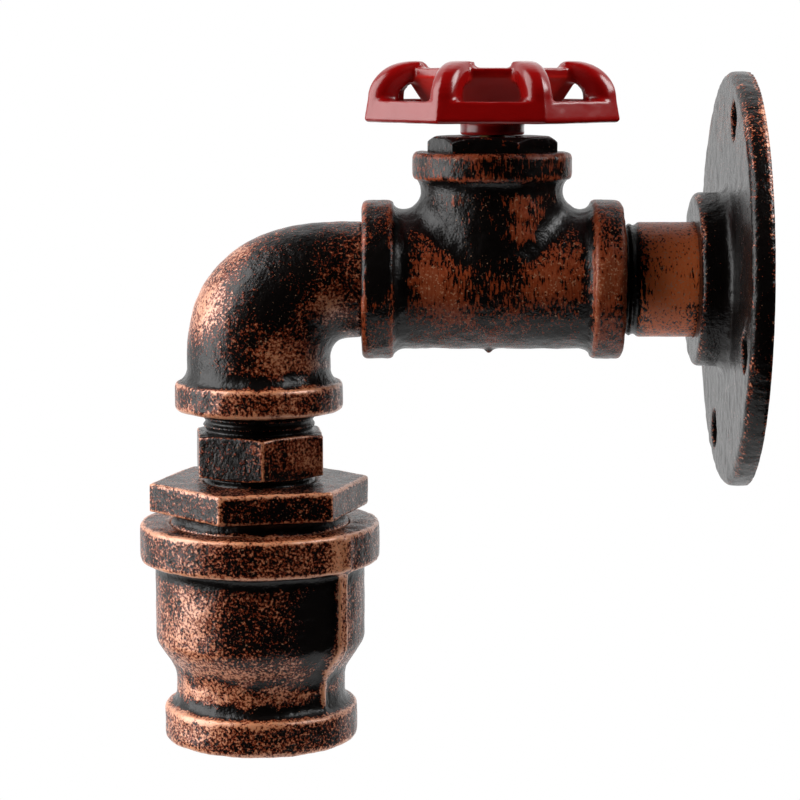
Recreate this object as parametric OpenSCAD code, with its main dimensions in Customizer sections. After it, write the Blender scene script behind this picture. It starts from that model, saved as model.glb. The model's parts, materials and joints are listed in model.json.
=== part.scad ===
// Wall light made of cast-iron pipe fittings. A floor flange screws to the wall, a short pipe nipple
// carries a tee, and a street elbow turns down to a reducer that holds the lampholder. The handwheel
// on the tee's branch turns a rotary switch inside the tee.
// The wall is the plane X = 0 and +X runs into it. The pipe lies on the X axis, and +Z is up.

/* [Wall flange] */
// Outside diameter of the flange plate
flange_od = 96; // [88:1:110]
// Thickness of the flange plate
flange_t = 5; // [4:0.5:7]
// Height of the threaded hub above the wall
hub_h = 12.3; // [11:0.1:16]
// Wall of the hub around its thread
hub_wall = 7; // [5:0.5:9]
// Diameter of the screw holes
screw_d = 9; // [6:0.5:10]
// Distance from the rim to the middle of a screw hole
screw_edge = 9; // [7:0.5:11]
// Number of screw holes
screw_count = 4; // [3:1:6]
// Turn of the screw holes from the vertical
screw_turn = -19; // [-45:1:45]

/* [Pipe and threads] */
// Thread of the pipe: outside of a male end, bore of a female one
thread_d = 26.4; // [25.6:0.1:27.4]
// How far a male thread goes into a fitting
thread_in = 12; // [9:0.5:12.5]
// Radial clearance of the elbow's spigot, which turns in the tee
swivel_gap = 0.05; // [0.02:0.01:0.1]
// Outside diameter of the pipe nipple
pipe_od = 26.7; // [26.4:0.1:28]
// Bore of the pipe nipple
pipe_bore = 20.9; // [18:0.1:22]
// Length of pipe that shows between the flange and the tee
pipe_show = 16.6; // [8:0.1:40]

/* [Tee] */
// From the middle of the tee to either end of its run
tee_half = 30.1; // [28:0.1:36]
// From the middle of the tee to the mouth of its branch
tee_rise = 29.6; // [28:0.1:34]
// Wall of the tee's body
tee_wall = 2.9; // [2.4:0.1:4]
// Wall of the tee's collars
tee_collar_wall = 5.25; // [4.6:0.05:7]
// Width of the collars on the tee's run
tee_collar_w = 7.4; // [5:0.1:9]
// Height of the collar on the tee's branch
branch_collar_h = 6.4; // [5:0.1:9]
// Radius of the blend between the branch and the run
tee_blend = 6; // [4:0.5:7]

/* [Bonnet] */
// Bonnet hexagon across flats
bonnet_af = 26.4; // [24:0.1:30]
// Height of the bonnet's hexagon
bonnet_h = 3.6; // [3:0.1:6]
// Turn of the bonnet's hexagon
bonnet_turn = -9.5; // [-30:0.5:30]

/* [Rotary switch] */
// Diameter of the switch's can
can_d = 18.8; // [16:0.1:20]
// Height of the switch's can
can_h = 12; // [10:0.5:14]
// Diameter of the switch's threaded neck
switch_neck_d = 8; // [7.6:0.1:9]
// Diameter of the switch's shaft
shaft_d = 6; // [5.6:0.1:6.4]
// Diameter of the shaft's threaded end
stud_d = 5; // [4:0.1:5]
// Radial clearance of the shaft in the switch's neck
shaft_gap = 0.05; // [0.02:0.01:0.1]

/* [Handwheel] */
// Handwheel across its corners
wheel_d = 62.6; // [59:0.2:68]
// Height of the rim
rim_h = 4.9; // [4:0.1:6]
// Radial thickness of the rim
rim_t = 4.2; // [3:0.1:5]
// Height from the rim's underside to the top of the arches
wheel_h = 13.8; // [13.2:0.1:16]
// Width of an arch
arch_w = 6.2; // [4.5:0.1:7]
// Thickness of an arch at its foot
arch_t = 5.2; // [4.4:0.1:5.6]
// Thickness of an arch at its top
arch_top_t = 4.5; // [4:0.1:5]
// Number of arches and of sides
wheel_sides = 8; // [6:2:10]
// Turn of the handwheel at rest
wheel_turn = -25.2; // [-45:0.2:45]
// Radius of the hub's top, at its corners
hub_r = 21.5; // [20.6:0.1:22.4]
// Height of the hub's top above the rim's underside
hub_top_h = 12.2; // [11.8:0.1:12.8]
// Height of the hub's floor above the rim's underside
hub_floor_h = 4.4; // [4:0.1:5]
// Diameter of the neck below the hub
wheel_neck_d = 14.8; // [12:0.1:17]
// Height of the neck that shows between the bonnet and the rim
wheel_neck_h = 3.4; // [2:0.1:6]

/* [Street elbow] */
// From the tee's face to the axis of the lamp head
elbow_reach = 24.2; // [22.5:0.1:32]
// From the pipe's axis to the elbow's mouth
elbow_drop = 30.5; // [29:0.1:40]
// Wall of the elbow's body above its mouth
elbow_wall = 3.55; // [3:0.05:4.5]
// Wall of the elbow's collar
elbow_collar_wall = 6.45; // [5.2:0.05:8]
// Height of the elbow's collar
elbow_collar_h = 6.9; // [5:0.1:8]
// Radius of the elbow's throat
throat_r = 4; // [3:0.1:5]
// Bore of the elbow's bend
elbow_bore = 19; // [14:0.5:20]

/* [Hex nipple] */
// Neck that shows between the elbow and the nipple's hexagon
nipple_neck = 4.9; // [3:0.1:7]
// Nipple hexagon across flats
nipple_af = 28.8; // [27.5:0.1:34]
// Height of the nipple's hexagon
nipple_hex_h = 10.1; // [6:0.1:12]
// Neck that shows between the nipple's hexagon and the bushing
nipple_low = 1.6; // [1.5:0.1:5]
// Bore of the hex nipple
nipple_bore = 19; // [18:0.1:20]
// Turn of the nipple's hexagon
nipple_turn = 36; // [0:0.5:60]

/* [Reducing bushing] */
// Bushing hexagon across flats
bushing_af = 45.3; // [43.5:0.1:50]
// Height of the bushing's hexagon
bushing_hex_h = 6.8; // [5:0.1:9]
// Thread of the bushing and of the reducer's upper end
big_thread_d = 42.2; // [41:0.1:43.4]
// Thread that shows between the bushing's hexagon and the reducer
bushing_gap = 3; // [1.5:0.1:5]
// How far the bushing goes into the reducer
bushing_in = 13; // [12:0.1:14]
// Bore of the bushing below its shoulder
bushing_bore = 22; // [19:0.5:23]
// Depth of the thread above the bushing's shoulder
bushing_seat = 14.9; // [14.4:0.1:16]
// Turn of the bushing's hexagon
bushing_turn = 12.5; // [0:0.5:60]

/* [Bell reducer] */
// Height of the reducer
reducer_h = 51.7; // [49:0.1:58]
// Wall of the reducer's upper collar
reducer_collar_wall = 7.05; // [5.5:0.05:9]
// Height of the reducer's upper collar
reducer_collar_h = 9; // [7:0.1:12]
// Wall of the reducer's body
reducer_wall = 3.55; // [3:0.05:4.5]
// From the upper face to the end of the straight body
reducer_body_h = 26.5; // [25:0.1:28]
// From the upper face to the waist
reducer_waist_h = 36.5; // [35:0.1:38]
// Bore of the reducer's lower end
mouth_d = 33.2; // [32.6:0.1:34]
// Wall of the reducer's waist
waist_wall = 3.3; // [2.8:0.1:4.2]
// Wall of the reducer's lower collar
low_collar_wall = 6.2; // [5:0.1:8]
// Height of the reducer's lower collar
low_collar_h = 8.6; // [6:0.1:10]
// Width of the two casting fins on the body
fin_w = 3.2; // [2:0.1:5]
// Width of the fins at the waist
fin_low_w = 1.6; // [1:0.1:4]
// How far a fin stands out of the body
fin_proud = 2.2; // [1:0.1:3]
// Width of the parting line that runs on from a fin over the upper collar
seam_w = 2.2; // [1:0.1:3]
// Turn of the fins
fin_turn = -41.4; // [-90:0.1:90]

/* [Lampholder] */
// Inside of the screw shell
shell_d = 26.6; // [26:0.1:27]
// Thickness of the screw shell
shell_t = 0.6; // [0.4:0.1:0.8]
// Depth of the lampholder's rim inside the reducer's mouth
mouth_depth = 5.1; // [3:0.1:7]
// Clearance between the lampholder's skirt and the reducer's mouth
skirt_gap = 0.6; // [0.3:0.1:0.8]
// Diameter of the contact block
block_d = 34; // [32:0.2:35]
// Height of the contact block
block_h = 8.6; // [8.2:0.1:9.6]
// Height of the lampholder's cap
cap_h = 9; // [7:0.1:10]
// Roof of the lampholder's cap
cap_roof = 3; // [2:0.1:4]
// Wall of the lampholder's cap
cap_wall = 2; // [1.5:0.1:2.5]
// Outside diameter of the threaded support tube
tube_d = 10; // [9.6:0.1:11]
// Bore of the support tube
tube_bore = 7.5; // [6.4:0.1:8]
// Diameter of the centre contact
contact_d = 4.4; // [4:0.1:5]
// How far the centre contact stands out of its block
contact_out = 2.6; // [2:0.1:3]
// Radial clearance of the centre contact in its block
contact_gap = 0.05; // [0.02:0.01:0.1]

/* [Wiring] */
// Diameter of the sheathed flex
flex_d = 5.2; // [5:0.1:5.8]
// Diameter of a single core
core_d = 2.2; // [1.6:0.1:2.4]

/* [Hidden] */

$fn = 96;
// A cut runs this far past the face that it opens
past = 1;
// Rounding of the cast collars' edges, and steps in a rounded edge
lip_r = 1.2;
arc_steps = 6;
nut_chamfer = 0.4;

thread_r = thread_d / 2;
tee_r = thread_r + tee_wall;
tee_collar_r = thread_r + tee_collar_wall;
elbow_r = thread_r + elbow_wall;
elbow_collar_r = thread_r + elbow_collar_wall;
spigot_r = thread_r - swivel_gap;

// Places along the pipe, from the wall outwards
tee_right_x = -(hub_h + pipe_show);
tee_x = tee_right_x - tee_half;
tee_left_x = tee_x - tee_half;
head_x = tee_left_x - elbow_reach;
spigot_x = tee_left_x + thread_in;
nipple_wall_gap = 1.5;
thread_show = 2.6;

// The tee's branch is a little wider than its run, and the blend between them sinks a little into both
branch_over = 0.2;
branch_r = tee_r + branch_over;
blend_sink = 0.3;
blend_turn = 77;
blend_rings = 16;
blend_back = 1.3;
bonnet_in = 11;
bonnet_chamfer = 1.3;

// The elbow's bend turns about its throat
throat_x = head_x + elbow_r + throat_r;
elbow_leg_over = 0.3;
elbow_leg_r = thread_r + elbow_leg_over;
elbow_leg_gap = 0.5;
throat_z = -(elbow_leg_r + throat_r);
elbow_shoulder = 2.6;
shoulder_sink = 0.6;
thread_relief = 1.4;
bend_bore_step = 0.2;
// Share of the turn by which the bend has grown to its full girth
bend_full = 0.8;
bend_rings = 16;
bend_sides = 40;

// Places down the lamp head
elbow_mouth_z = -elbow_drop;
nipple_hex_z = elbow_mouth_z - nipple_neck;
nipple_hex_low_z = nipple_hex_z - nipple_hex_h;
nipple_in = 11;
nipple_top_chamfer = 0.5;
nipple_foot_chamfer = 0.4;
bushing_top_z = nipple_hex_low_z - nipple_low;
bushing_hex_low_z = bushing_top_z - bushing_hex_h;
reducer_top_z = bushing_hex_low_z - bushing_gap;
bushing_low_z = reducer_top_z - bushing_in;
bushing_seat_z = bushing_top_z - bushing_seat;
reducer_low_z = reducer_top_z - reducer_h;
big_r = big_thread_d / 2;
mouth_r = mouth_d / 2;
low_lip_r = 1.8;
fin_sink = 0.5;
fin_low_proud = 0.8;
seam_proud = 0.35;

// The lampholder hangs under the bushing by a threaded tube, a plate and a nut
cap_low_z = bushing_low_z - cap_h;
block_top_z = bushing_low_z - cap_roof;
block_low_z = block_top_z - block_h;
block_r = block_d / 2;
block_slip = 0.1;
cap_r = block_r + cap_wall;
cap_lip = 1.5;
skirt_low_z = reducer_low_z + mouth_depth;
skirt_r = mouth_r - skirt_gap;
skirt_step_z = reducer_top_z - reducer_body_h;
skirt_neck_z = reducer_top_z - (reducer_body_h + reducer_waist_h) / 2;
shell_r = shell_d / 2;
shell_ledge = 2.5;
shell_top_z = block_low_z - shell_ledge;
shell_inset = 0.5;
shell_low_z = skirt_low_z + shell_inset;
shell_stop = 0.8;
plate_t = 2;
plate_slip = 0.3;
plate_top_z = bushing_seat_z + plate_t;
tube_nut_af = 14;
tube_nut_h = 4;
tube_nut_z = plate_top_z + tube_nut_h;
tube_end = 0.6;

// The centre contact slides in a well with its spring above it
well_floor = 1.8;
well_slip = 0.2;
contact_flange = 1;
contact_flange_r = contact_d / 2 + contact_flange;
contact_flange_h = 1;
contact_tip_r = 0.9;
contact_flange_z = block_low_z + well_floor;
spring_low_z = contact_flange_z + contact_flange_h;
spring_h = 3.5;
spring_t = 0.7;
spring_slip = 0.2;
spring_r = contact_flange_r - spring_slip;
well_r = contact_flange_r + well_slip;
core_recess_r = 4.6;
core_recess_h = 1.5;
terminal_r = 10.5;
terminal_pocket_r = 3.6;
terminal_pocket_h = 5;
terminal_head_r = 2.8;
terminal_head_h = 2;
terminal_shank_r = 1.5;
terminal_shank_h = 2.4;

// The switch hangs under the bonnet's web, and its nut lies in the bonnet's recess
bonnet_top_z = tee_rise + bonnet_h;
switch_washer_t = 0.6;
switch_washer_over = 0.6;
switch_nut_h = 1.8;
nut_wall = 1.5;
switch_nut_af = switch_neck_d + 2 * nut_wall;
nut_sink = 0.2;
nut_room = 0.8;
nut_recess_h = switch_washer_t + switch_nut_h + nut_sink;
nut_recess_r = switch_nut_af / 2 / cos(30) + nut_room;
nut_seat_z = bonnet_top_z - nut_recess_h;
bonnet_web = 3.4;
can_top_z = nut_seat_z - bonnet_web;
can_low_z = can_top_z - can_h;
can_r = can_d / 2;
can_wall = 1;
can_roof = 1.2;
can_slip = 0.8;
neck_slip = 0.1;
switch_base_t = 2;
rotor_t = 2;
rotor_slip = 0.8;
rotor_lift = 3.3;
rotor_wall = 2;
rotor_arm_w = 3;
rotor_z = can_low_z + switch_base_t + rotor_lift;
shaft_r = shaft_d / 2;
stud_r = stud_d / 2;
shaft_foot = 0.4;
flat_step = 0.1;
shaft_flat_y = stud_r + flat_step;
tag_w = 2.4;
tag_t = 0.8;
tag_h = 5;
tag_pitch = 4;
tag_low_z = can_low_z - tag_h;

// The handwheel sits on the shaft's shoulder, and a nut in its hub holds it down. Its arches run level
// over the hub's edge and then curve down to the rim
wheel_z = bonnet_top_z + wheel_neck_h;
wheel_gap = 0.3;
wheel_low_z = bonnet_top_z + wheel_gap;
wheel_r = wheel_d / 2;
wheel_lean = 0.9;
wheel_edge = 0.7;
arch_step = 0.4;
arch_z = rim_h + arch_step;
arch_rise = wheel_h - arch_z;
arch_level = 1.6;
arch_c = hub_r - arch_level;
arch_reach = wheel_r - wheel_lean - arch_c;
arch_end = 1.2;
arch_lap = 3.6;
arch_in = hub_r - arch_lap;
hub_band_h = 2;
hub_chamfer = 1.2;
hub_low_r = 14.5;
hub_low_h = 0.6;
hub_web = 2;
neck_sink = 1;
bowl_low_r = 9;
bowl_wall = 2.4;
hub_floor_z = wheel_z + hub_floor_h;
shaft_seat_z = hub_floor_z - hub_web;
wheel_washer_r = 5.4;
wheel_washer_t = 1;
wheel_nut_af = stud_d + 2 * nut_wall;
wheel_nut_h = 4;
stud_end = 1;
stud_top_z = hub_floor_z + wheel_washer_t + wheel_nut_h + stud_end;

// The flex is parted where the elbow turns in the tee, and its sheath ends in the tee
flex_gap = 0.3;
flex_in_tee = 7;
flex_split_x = spigot_x + flex_in_tee;
flex_r = flex_d / 2;
flex_bend_r = -throat_z;
flex_leg_x = throat_x - flex_bend_r;
flex_bend_steps = 8;
core_r = core_d / 2;
core_pair = 1.25;

// Routes of the cores: the lives go up to the switch's outer tags, and the neutral passes below it
live_tag_x = tee_x + tag_pitch;
lamp_tag_x = tee_x - tag_pitch;
lead_y = 2.5;
lead_z = 2;
lead_ease = 2;
tag_ease = 3;
live_z = 4;
neutral_z = -4;
switched_route = [[flex_split_x, 0, core_pair], [flex_split_x + lead_ease, 0, core_pair],
    [lamp_tag_x - core_r, 0, live_z], [lamp_tag_x, 0, tag_low_z - tag_ease], [lamp_tag_x, 0, tag_low_z]];
supply_route = [[-nipple_wall_gap, lead_y, lead_z], [tee_right_x / 2, lead_y, lead_z],
    [tee_right_x, lead_y, lead_z], [tee_right_x - thread_in, lead_y, lead_z],
    [live_tag_x + tag_ease, core_r, live_z], [live_tag_x, 0, tag_low_z - tag_ease],
    [live_tag_x, 0, tag_low_z]];
neutral_route = [[-nipple_wall_gap, -lead_y, -lead_z], [tee_right_x / 2, -lead_y, -lead_z],
    [tee_right_x, -lead_y, -lead_z], [tee_right_x - thread_in, -lead_y, -lead_z],
    [tee_x, -core_r, neutral_z], [flex_split_x + 2 * lead_ease, 0, -lead_y],
    [flex_split_x + lead_ease, 0, -core_pair], [flex_split_x, 0, -core_pair]];

iron = [0.20, 0.13, 0.10];
iron_dark = [0.10, 0.09, 0.09];
wheel_red = [0.60, 0.04, 0.04];
steel = [0.70, 0.71, 0.72];
brass = [0.80, 0.65, 0.30];
ceramic = [0.92, 0.90, 0.86];
phenolic = [0.35, 0.20, 0.10];
brown_core = [0.30, 0.14, 0.06];
blue_core = [0.10, 0.25, 0.55];

// Points of an arc about c in a turned profile, from angle a0 to a1
function arc(c, r, a0, a1) =
    [for (i = [0:arc_steps])
        let (a = a0 + (a1 - a0) * i / arc_steps)
        c + r * [cos(a), sin(a)]];

// Rises from 0 to 1 with a level start and end
function smooth(t) = t * t * (3 - 2 * t);

// Turns a profile of radii and heights about the Z axis
module turned(profile) rotate_extrude() polygon(profile);

// A round band with both its outer edges rounded, standing on the plane Z = 0
module band(r, h, lip = lip_r) {
    turned(concat(
        [[0, 0]],
        arc([r - lip, lip], lip, -90, 0),
        arc([r - lip, h - lip], lip, 0, 90),
        [[0, h]]));
}

module tube(r, hole_r, h) {
    difference() {
        cylinder(r = r, h = h);
        translate([0, 0, -past]) cylinder(r = hole_r, h = h + 2 * past);
    }
}

// A hexagonal prism with chamfers of the given height at its top and at its foot, which run on past
// its corners
module hexagon(af, h, top = 0, foot = 0) {
    corner_r = af / 2 / cos(30);
    flat_r = af / 2;
    out_r = corner_r + past;
    run_out = (out_r - flat_r) / (corner_r - flat_r);
    intersection() {
        linear_extrude(h) circle(r = corner_r, $fn = 6);
        turned([[0, 0], [flat_r, 0], [out_r, foot * run_out], [out_r, h - top * run_out],
            [flat_r, h], [0, h]]);
    }
}

// Lays a piece that stands on Z along the pipe, with its foot at x and its top towards the lamp head
module along_pipe(x) translate([x, 0, 0]) rotate([0, -90, 0]) children();

module on_branch(z) translate([tee_x, 0, z]) children();

module on_head(z) translate([head_x, 0, z]) children();

// A round wire along a route. Each ring stands square to the route, and no stretch runs along Y
module wire(route, r) {
    sides = 8;
    last = len(route) - 1;
    rings = [for (i = [0:last])
        let (ahead = route[min(i + 1, last)] - route[max(i - 1, 0)],
            t = ahead / norm(ahead),
            side = cross(t, [0, 1, 0]) / norm(cross(t, [0, 1, 0])),
            up = cross(side, t))
        [for (k = [0:sides - 1])
            let (a = 360 * k / sides)
            route[i] + r * (side * cos(a) + up * sin(a))]];
    skin(rings);
}

// Joins rings of equal count into one closed solid
module skin(rings) {
    sides = len(rings[0]);
    last = len(rings) - 1;
    walls = [for (i = [0:last - 1], k = [0:sides - 1])
        let (a = i * sides + k, b = i * sides + (k + 1) % sides)
        each [[a, b, b + sides], [a, b + sides, a + sides]]];
    foot = [[for (k = [sides - 1:-1:0]) k]];
    head = [[for (k = [0:sides - 1]) last * sides + k]];
    polyhedron(points = [for (ring = rings) each ring], faces = concat(walls, foot, head));
}

module floor_flange() color(iron) {
    hub_r_out = thread_r + hub_wall;
    base_r = 1.6;
    edge_r = 1.8;
    plate_r = flange_od / 2;
    difference() {
        along_pipe(0) turned(concat(
            [[0, 0], [plate_r, 0]],
            arc([plate_r - edge_r, flange_t - edge_r], edge_r, 0, 90),
            arc([hub_r_out + base_r, flange_t + base_r], base_r, 270, 180),
            arc([hub_r_out - lip_r, hub_h - lip_r], lip_r, 0, 90),
            [[0, hub_h]]));
        along_pipe(past) cylinder(r = thread_r, h = hub_h + 2 * past);
        along_pipe(past) for (i = [0:screw_count - 1])
            rotate(screw_turn + 360 * i / screw_count) translate([plate_r - screw_edge, 0, 0])
                cylinder(d = screw_d, h = flange_t + 2 * past);
    }
}

module pipe_nipple() color(iron) {
    inner_x = tee_right_x - thread_in;
    difference() {
        union() {
            along_pipe(-nipple_wall_gap) cylinder(r = thread_r, h = -inner_x - nipple_wall_gap);
            along_pipe(-hub_h) cylinder(d = pipe_od, h = pipe_show - thread_show);
        }
        along_pipe(0) cylinder(d = pipe_bore, h = past - inner_x);
    }
}

// A ball in the corner between run and branch leaves this section at one turn about the branch
function blend_section(turn) =
    let (from_branch = branch_r + tee_blend - blend_sink,
        from_run = tee_r + tee_blend - blend_sink,
        x = from_branch * cos(turn),
        y = from_branch * sin(turn),
        ball = [x, y, sqrt(from_run * from_run - y * y)],
        to_run = -[0, ball[1], ball[2]] / from_run,
        to_branch = -[x, y, 0] / from_branch,
        bend = acos(to_run * to_branch))
    concat(
        [for (i = [0:arc_steps])
            let (a = bend * i / arc_steps)
            ball + tee_blend * (to_run * sin(bend - a) + to_branch * sin(a)) / sin(bend)],
        [ball + blend_back * tee_blend * (to_run + to_branch)]);

module tee() color(iron) {
    difference() {
        union() {
            along_pipe(tee_right_x) cylinder(r = tee_r, h = 2 * tee_half);
            along_pipe(tee_right_x) band(tee_collar_r, tee_collar_w);
            along_pipe(tee_left_x + tee_collar_w) band(tee_collar_r, tee_collar_w);
            on_branch(0) cylinder(r = branch_r, h = tee_rise);
            on_branch(tee_rise - branch_collar_h) band(tee_collar_r, branch_collar_h);
            for (i = [0:1]) on_branch(0) rotate(180 * i) skin([for (k = [-blend_rings / 2:blend_rings / 2])
                blend_section(2 * blend_turn * k / blend_rings)]);
        }
        along_pipe(tee_right_x + past) cylinder(r = thread_r, h = 2 * (tee_half + past));
        on_branch(0) cylinder(r = thread_r, h = tee_rise + past);
    }
}

module bonnet() color(iron_dark) {
    skirt_z = tee_rise - bonnet_in;
    difference() {
        union() {
            on_branch(tee_rise) rotate(bonnet_turn) hexagon(bonnet_af, bonnet_h, top = bonnet_chamfer);
            on_branch(skirt_z) cylinder(r = thread_r, h = bonnet_in);
        }
        on_branch(skirt_z - past) cylinder(r = can_r + can_slip, h = can_top_z - skirt_z + past);
        on_branch(0) cylinder(d = switch_neck_d + 2 * neck_slip, h = bonnet_top_z + past);
        on_branch(nut_seat_z) cylinder(r = nut_recess_r, h = nut_recess_h + past);
    }
}

module switch_housing() color(steel) {
    neck_top_z = nut_seat_z + switch_washer_t + switch_nut_h;
    difference() {
        union() {
            on_branch(can_low_z) cylinder(r = can_r, h = can_h);
            on_branch(can_top_z) cylinder(d = switch_neck_d, h = neck_top_z - can_top_z);
        }
        on_branch(can_low_z - past) cylinder(r = can_r - can_wall, h = can_h - can_roof + past);
        on_branch(can_low_z) cylinder(r = shaft_r + shaft_gap, h = neck_top_z - can_low_z + past);
    }
}

module switch_base() color(phenolic)
    on_branch(can_low_z) cylinder(r = can_r - can_wall, h = switch_base_t);

module switch_terminals() color(brass)
    for (i = [-1:1])
        translate([tee_x + i * tag_pitch - tag_t / 2, -tag_w / 2, tag_low_z]) cube([tag_t, tag_w, tag_h]);

module switch_washer() color(steel)
    on_branch(nut_seat_z)
        tube(switch_nut_af / 2 + switch_washer_over, switch_neck_d / 2 + neck_slip, switch_washer_t);

module switch_nut() color(steel)
    on_branch(nut_seat_z + switch_washer_t) difference() {
        hexagon(switch_nut_af, switch_nut_h, top = nut_chamfer);
        translate([0, 0, -past]) cylinder(d = switch_neck_d, h = switch_nut_h + 2 * past);
    }

module switch_shaft() color(brass) {
    foot_z = can_low_z + switch_base_t + shaft_foot;
    difference() {
        union() {
            on_branch(foot_z) cylinder(r = shaft_r, h = shaft_seat_z - foot_z);
            on_branch(foot_z) cylinder(r = stud_r, h = stud_top_z - foot_z);
        }
        on_branch(wheel_low_z) translate([-shaft_r, shaft_flat_y, 0])
            cube([shaft_d, shaft_d, shaft_seat_z - wheel_low_z]);
    }
}

module switch_rotor() color(phenolic) {
    arm_l = can_r - can_wall - rotor_slip;
    on_branch(rotor_z) difference() {
        union() {
            cylinder(r = shaft_r + rotor_wall, h = rotor_t);
            translate([0, -rotor_arm_w / 2, 0]) cube([arm_l, rotor_arm_w, rotor_t]);
        }
        translate([0, 0, -past]) cylinder(r = shaft_r, h = rotor_t + 2 * past);
    }
}

// An arch, as radii at its corner and heights above the rim's underside
function arch_profile() = concat(
    [[wheel_r - wheel_edge, 0], [wheel_r, wheel_edge]],
    ellipse(arch_reach, arch_rise, 0, 90),
    arc([arch_in + arch_end, wheel_h - arch_end], arch_end, 90, 180),
    [[arch_in, wheel_h - arch_top_t]],
    ellipse(arch_reach - arch_t, arch_rise - arch_top_t, 90, 0),
    [[arch_c + arch_reach - arch_t, 0]]);

// Points of an arch's curve about the top of the rim
function ellipse(reach, rise, a0, a1) =
    [for (i = [0:arc_steps])
        let (a = a0 + (a1 - a0) * i / arc_steps)
        [arch_c + reach * cos(a), arch_z + rise * sin(a)]];

// Turns a profile into the wheel's polygon, with a corner on the X axis
module sided(profile) rotate_extrude($fn = wheel_sides) polygon(profile);

module on_wheel() on_branch(wheel_z) rotate(wheel_turn) children();

// The hub without its dish: a band over an upturned pyramid
module hub_body()
    sided([[0, hub_low_h], [hub_low_r, hub_low_h],
        [hub_r - hub_chamfer, hub_top_h - hub_band_h - hub_chamfer], [hub_r, hub_top_h - hub_band_h],
        [hub_r, hub_top_h], [0, hub_top_h]]);

module handwheel() color(wheel_red) {
    rim_in = wheel_r - wheel_lean - rim_t;
    rim_lean = wheel_lean * (rim_h - wheel_edge) / (arch_z - wheel_edge);
    on_wheel() difference() {
        union() {
            sided([[rim_in, 0], [wheel_r - wheel_edge, 0], [wheel_r, wheel_edge],
                [wheel_r - rim_lean, rim_h], [rim_in, rim_h]]);
            intersection() {
                sided(arch_profile());
                for (i = [0:wheel_sides - 1]) rotate(360 * i / wheel_sides)
                    translate([0, -arch_w / 2, -past]) cube([wheel_r + past, arch_w, wheel_h + 2 * past]);
            }
        }
        hub_body();
    }
}

module handwheel_hub() color(wheel_red) {
    bowl_h = hub_top_h - hub_floor_h;
    bowl_r = hub_r * cos(180 / wheel_sides) - bowl_wall;
    bowl_slope = (bowl_r - bowl_low_r) / bowl_h;
    difference() {
        union() {
            on_wheel() hub_body();
            on_branch(wheel_low_z)
                cylinder(d = wheel_neck_d, h = wheel_z - wheel_low_z + hub_low_h + neck_sink);
        }
        on_branch(hub_floor_z) cylinder(r1 = bowl_low_r, r2 = bowl_r + bowl_slope * past, h = bowl_h + past);
        on_branch(wheel_z) shaft_bore();
    }
}

// The bore is flat on one side below the shaft's shoulder, and fits the stud above it
module shaft_bore() {
    low = wheel_low_z - wheel_z;
    translate([0, 0, low - past]) difference() {
        cylinder(r = shaft_r, h = shaft_seat_z - wheel_low_z + past);
        translate([-shaft_r, shaft_flat_y, past]) cube([shaft_d, shaft_d, shaft_seat_z - wheel_low_z]);
    }
    cylinder(r = stud_r, h = wheel_h);
}

module wheel_washer() color(steel)
    on_branch(hub_floor_z) tube(wheel_washer_r, stud_r, wheel_washer_t);

module wheel_nut() color(steel)
    on_branch(hub_floor_z + wheel_washer_t) difference() {
        hexagon(wheel_nut_af, wheel_nut_h, top = nut_chamfer, foot = nut_chamfer);
        translate([0, 0, -past]) cylinder(r = stud_r, h = wheel_nut_h + 2 * past);
    }

// The bend's rings all stand on the throat's line, and grow from the leg to the mouth's body
function bend_ring(t) =
    let (a = 90 * t,
        inner = throat_r,
        leg_out = throat_r + 2 * elbow_leg_r,
        outer = leg_out + 2 * (elbow_r - elbow_leg_r) * smooth(min(1, t / bend_full)),
        mid = (outer + inner) / 2,
        q = (outer - inner) / 2)
    [for (k = [0:bend_sides - 1])
        let (b = 360 * k / bend_sides,
            reach = mid + q * cos(b))
        [throat_x - reach * sin(a), -q * sin(b), throat_z + reach * cos(a)]];

// The cast body runs from just outside the tee, round the bend and down into the collar
function elbow_rings() = concat(
    [[for (p = bend_ring(0)) p + [tee_left_x - elbow_leg_gap - throat_x, 0, 0]]],
    [for (i = [0:bend_rings]) bend_ring(i / bend_rings)],
    [[for (p = bend_ring(1)) p + [0, 0, elbow_mouth_z + elbow_collar_h / 2 - throat_z]]]);

module street_elbow() color(iron) {
    collar_top_z = elbow_mouth_z + elbow_collar_h;
    bore_r = elbow_bore / 2;
    bore_arc = -throat_z;
    difference() {
        union() {
            along_pipe(spigot_x) cylinder(r = spigot_r, h = spigot_x - throat_x);
            skin(elbow_rings());
            on_head(elbow_mouth_z) band(elbow_collar_r, elbow_collar_h);
            on_head(collar_top_z - lip_r)
                cylinder(r1 = elbow_collar_r - lip_r, r2 = elbow_r - shoulder_sink, h = elbow_shoulder);
        }
        along_pipe(spigot_x + past) cylinder(r = bore_r, h = spigot_x - throat_x + 2 * past);
        translate([throat_x, 0, throat_z]) rotate([90, 0, 0]) rotate([0, 0, 90])
            rotate_extrude(angle = 90) translate([bore_arc, 0]) circle(r = bore_r - bend_bore_step);
        translate([throat_x - bore_arc, 0, elbow_mouth_z - past])
            cylinder(r = bore_r, h = throat_z - elbow_mouth_z + 2 * past);
        on_head(elbow_mouth_z - past) cylinder(r = thread_r, h = thread_in + thread_relief + past);
    }
}

module hex_nipple() color(iron) {
    top_z = elbow_mouth_z + thread_in;
    low_z = bushing_top_z - nipple_in;
    difference() {
        union() {
            on_head(low_z) cylinder(r = thread_r, h = top_z - low_z);
            on_head(nipple_hex_low_z) rotate(nipple_turn)
                hexagon(nipple_af, nipple_hex_h, top = nipple_top_chamfer, foot = nipple_foot_chamfer);
        }
        on_head(low_z - past) cylinder(d = nipple_bore, h = top_z - low_z + 2 * past);
    }
}

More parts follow.
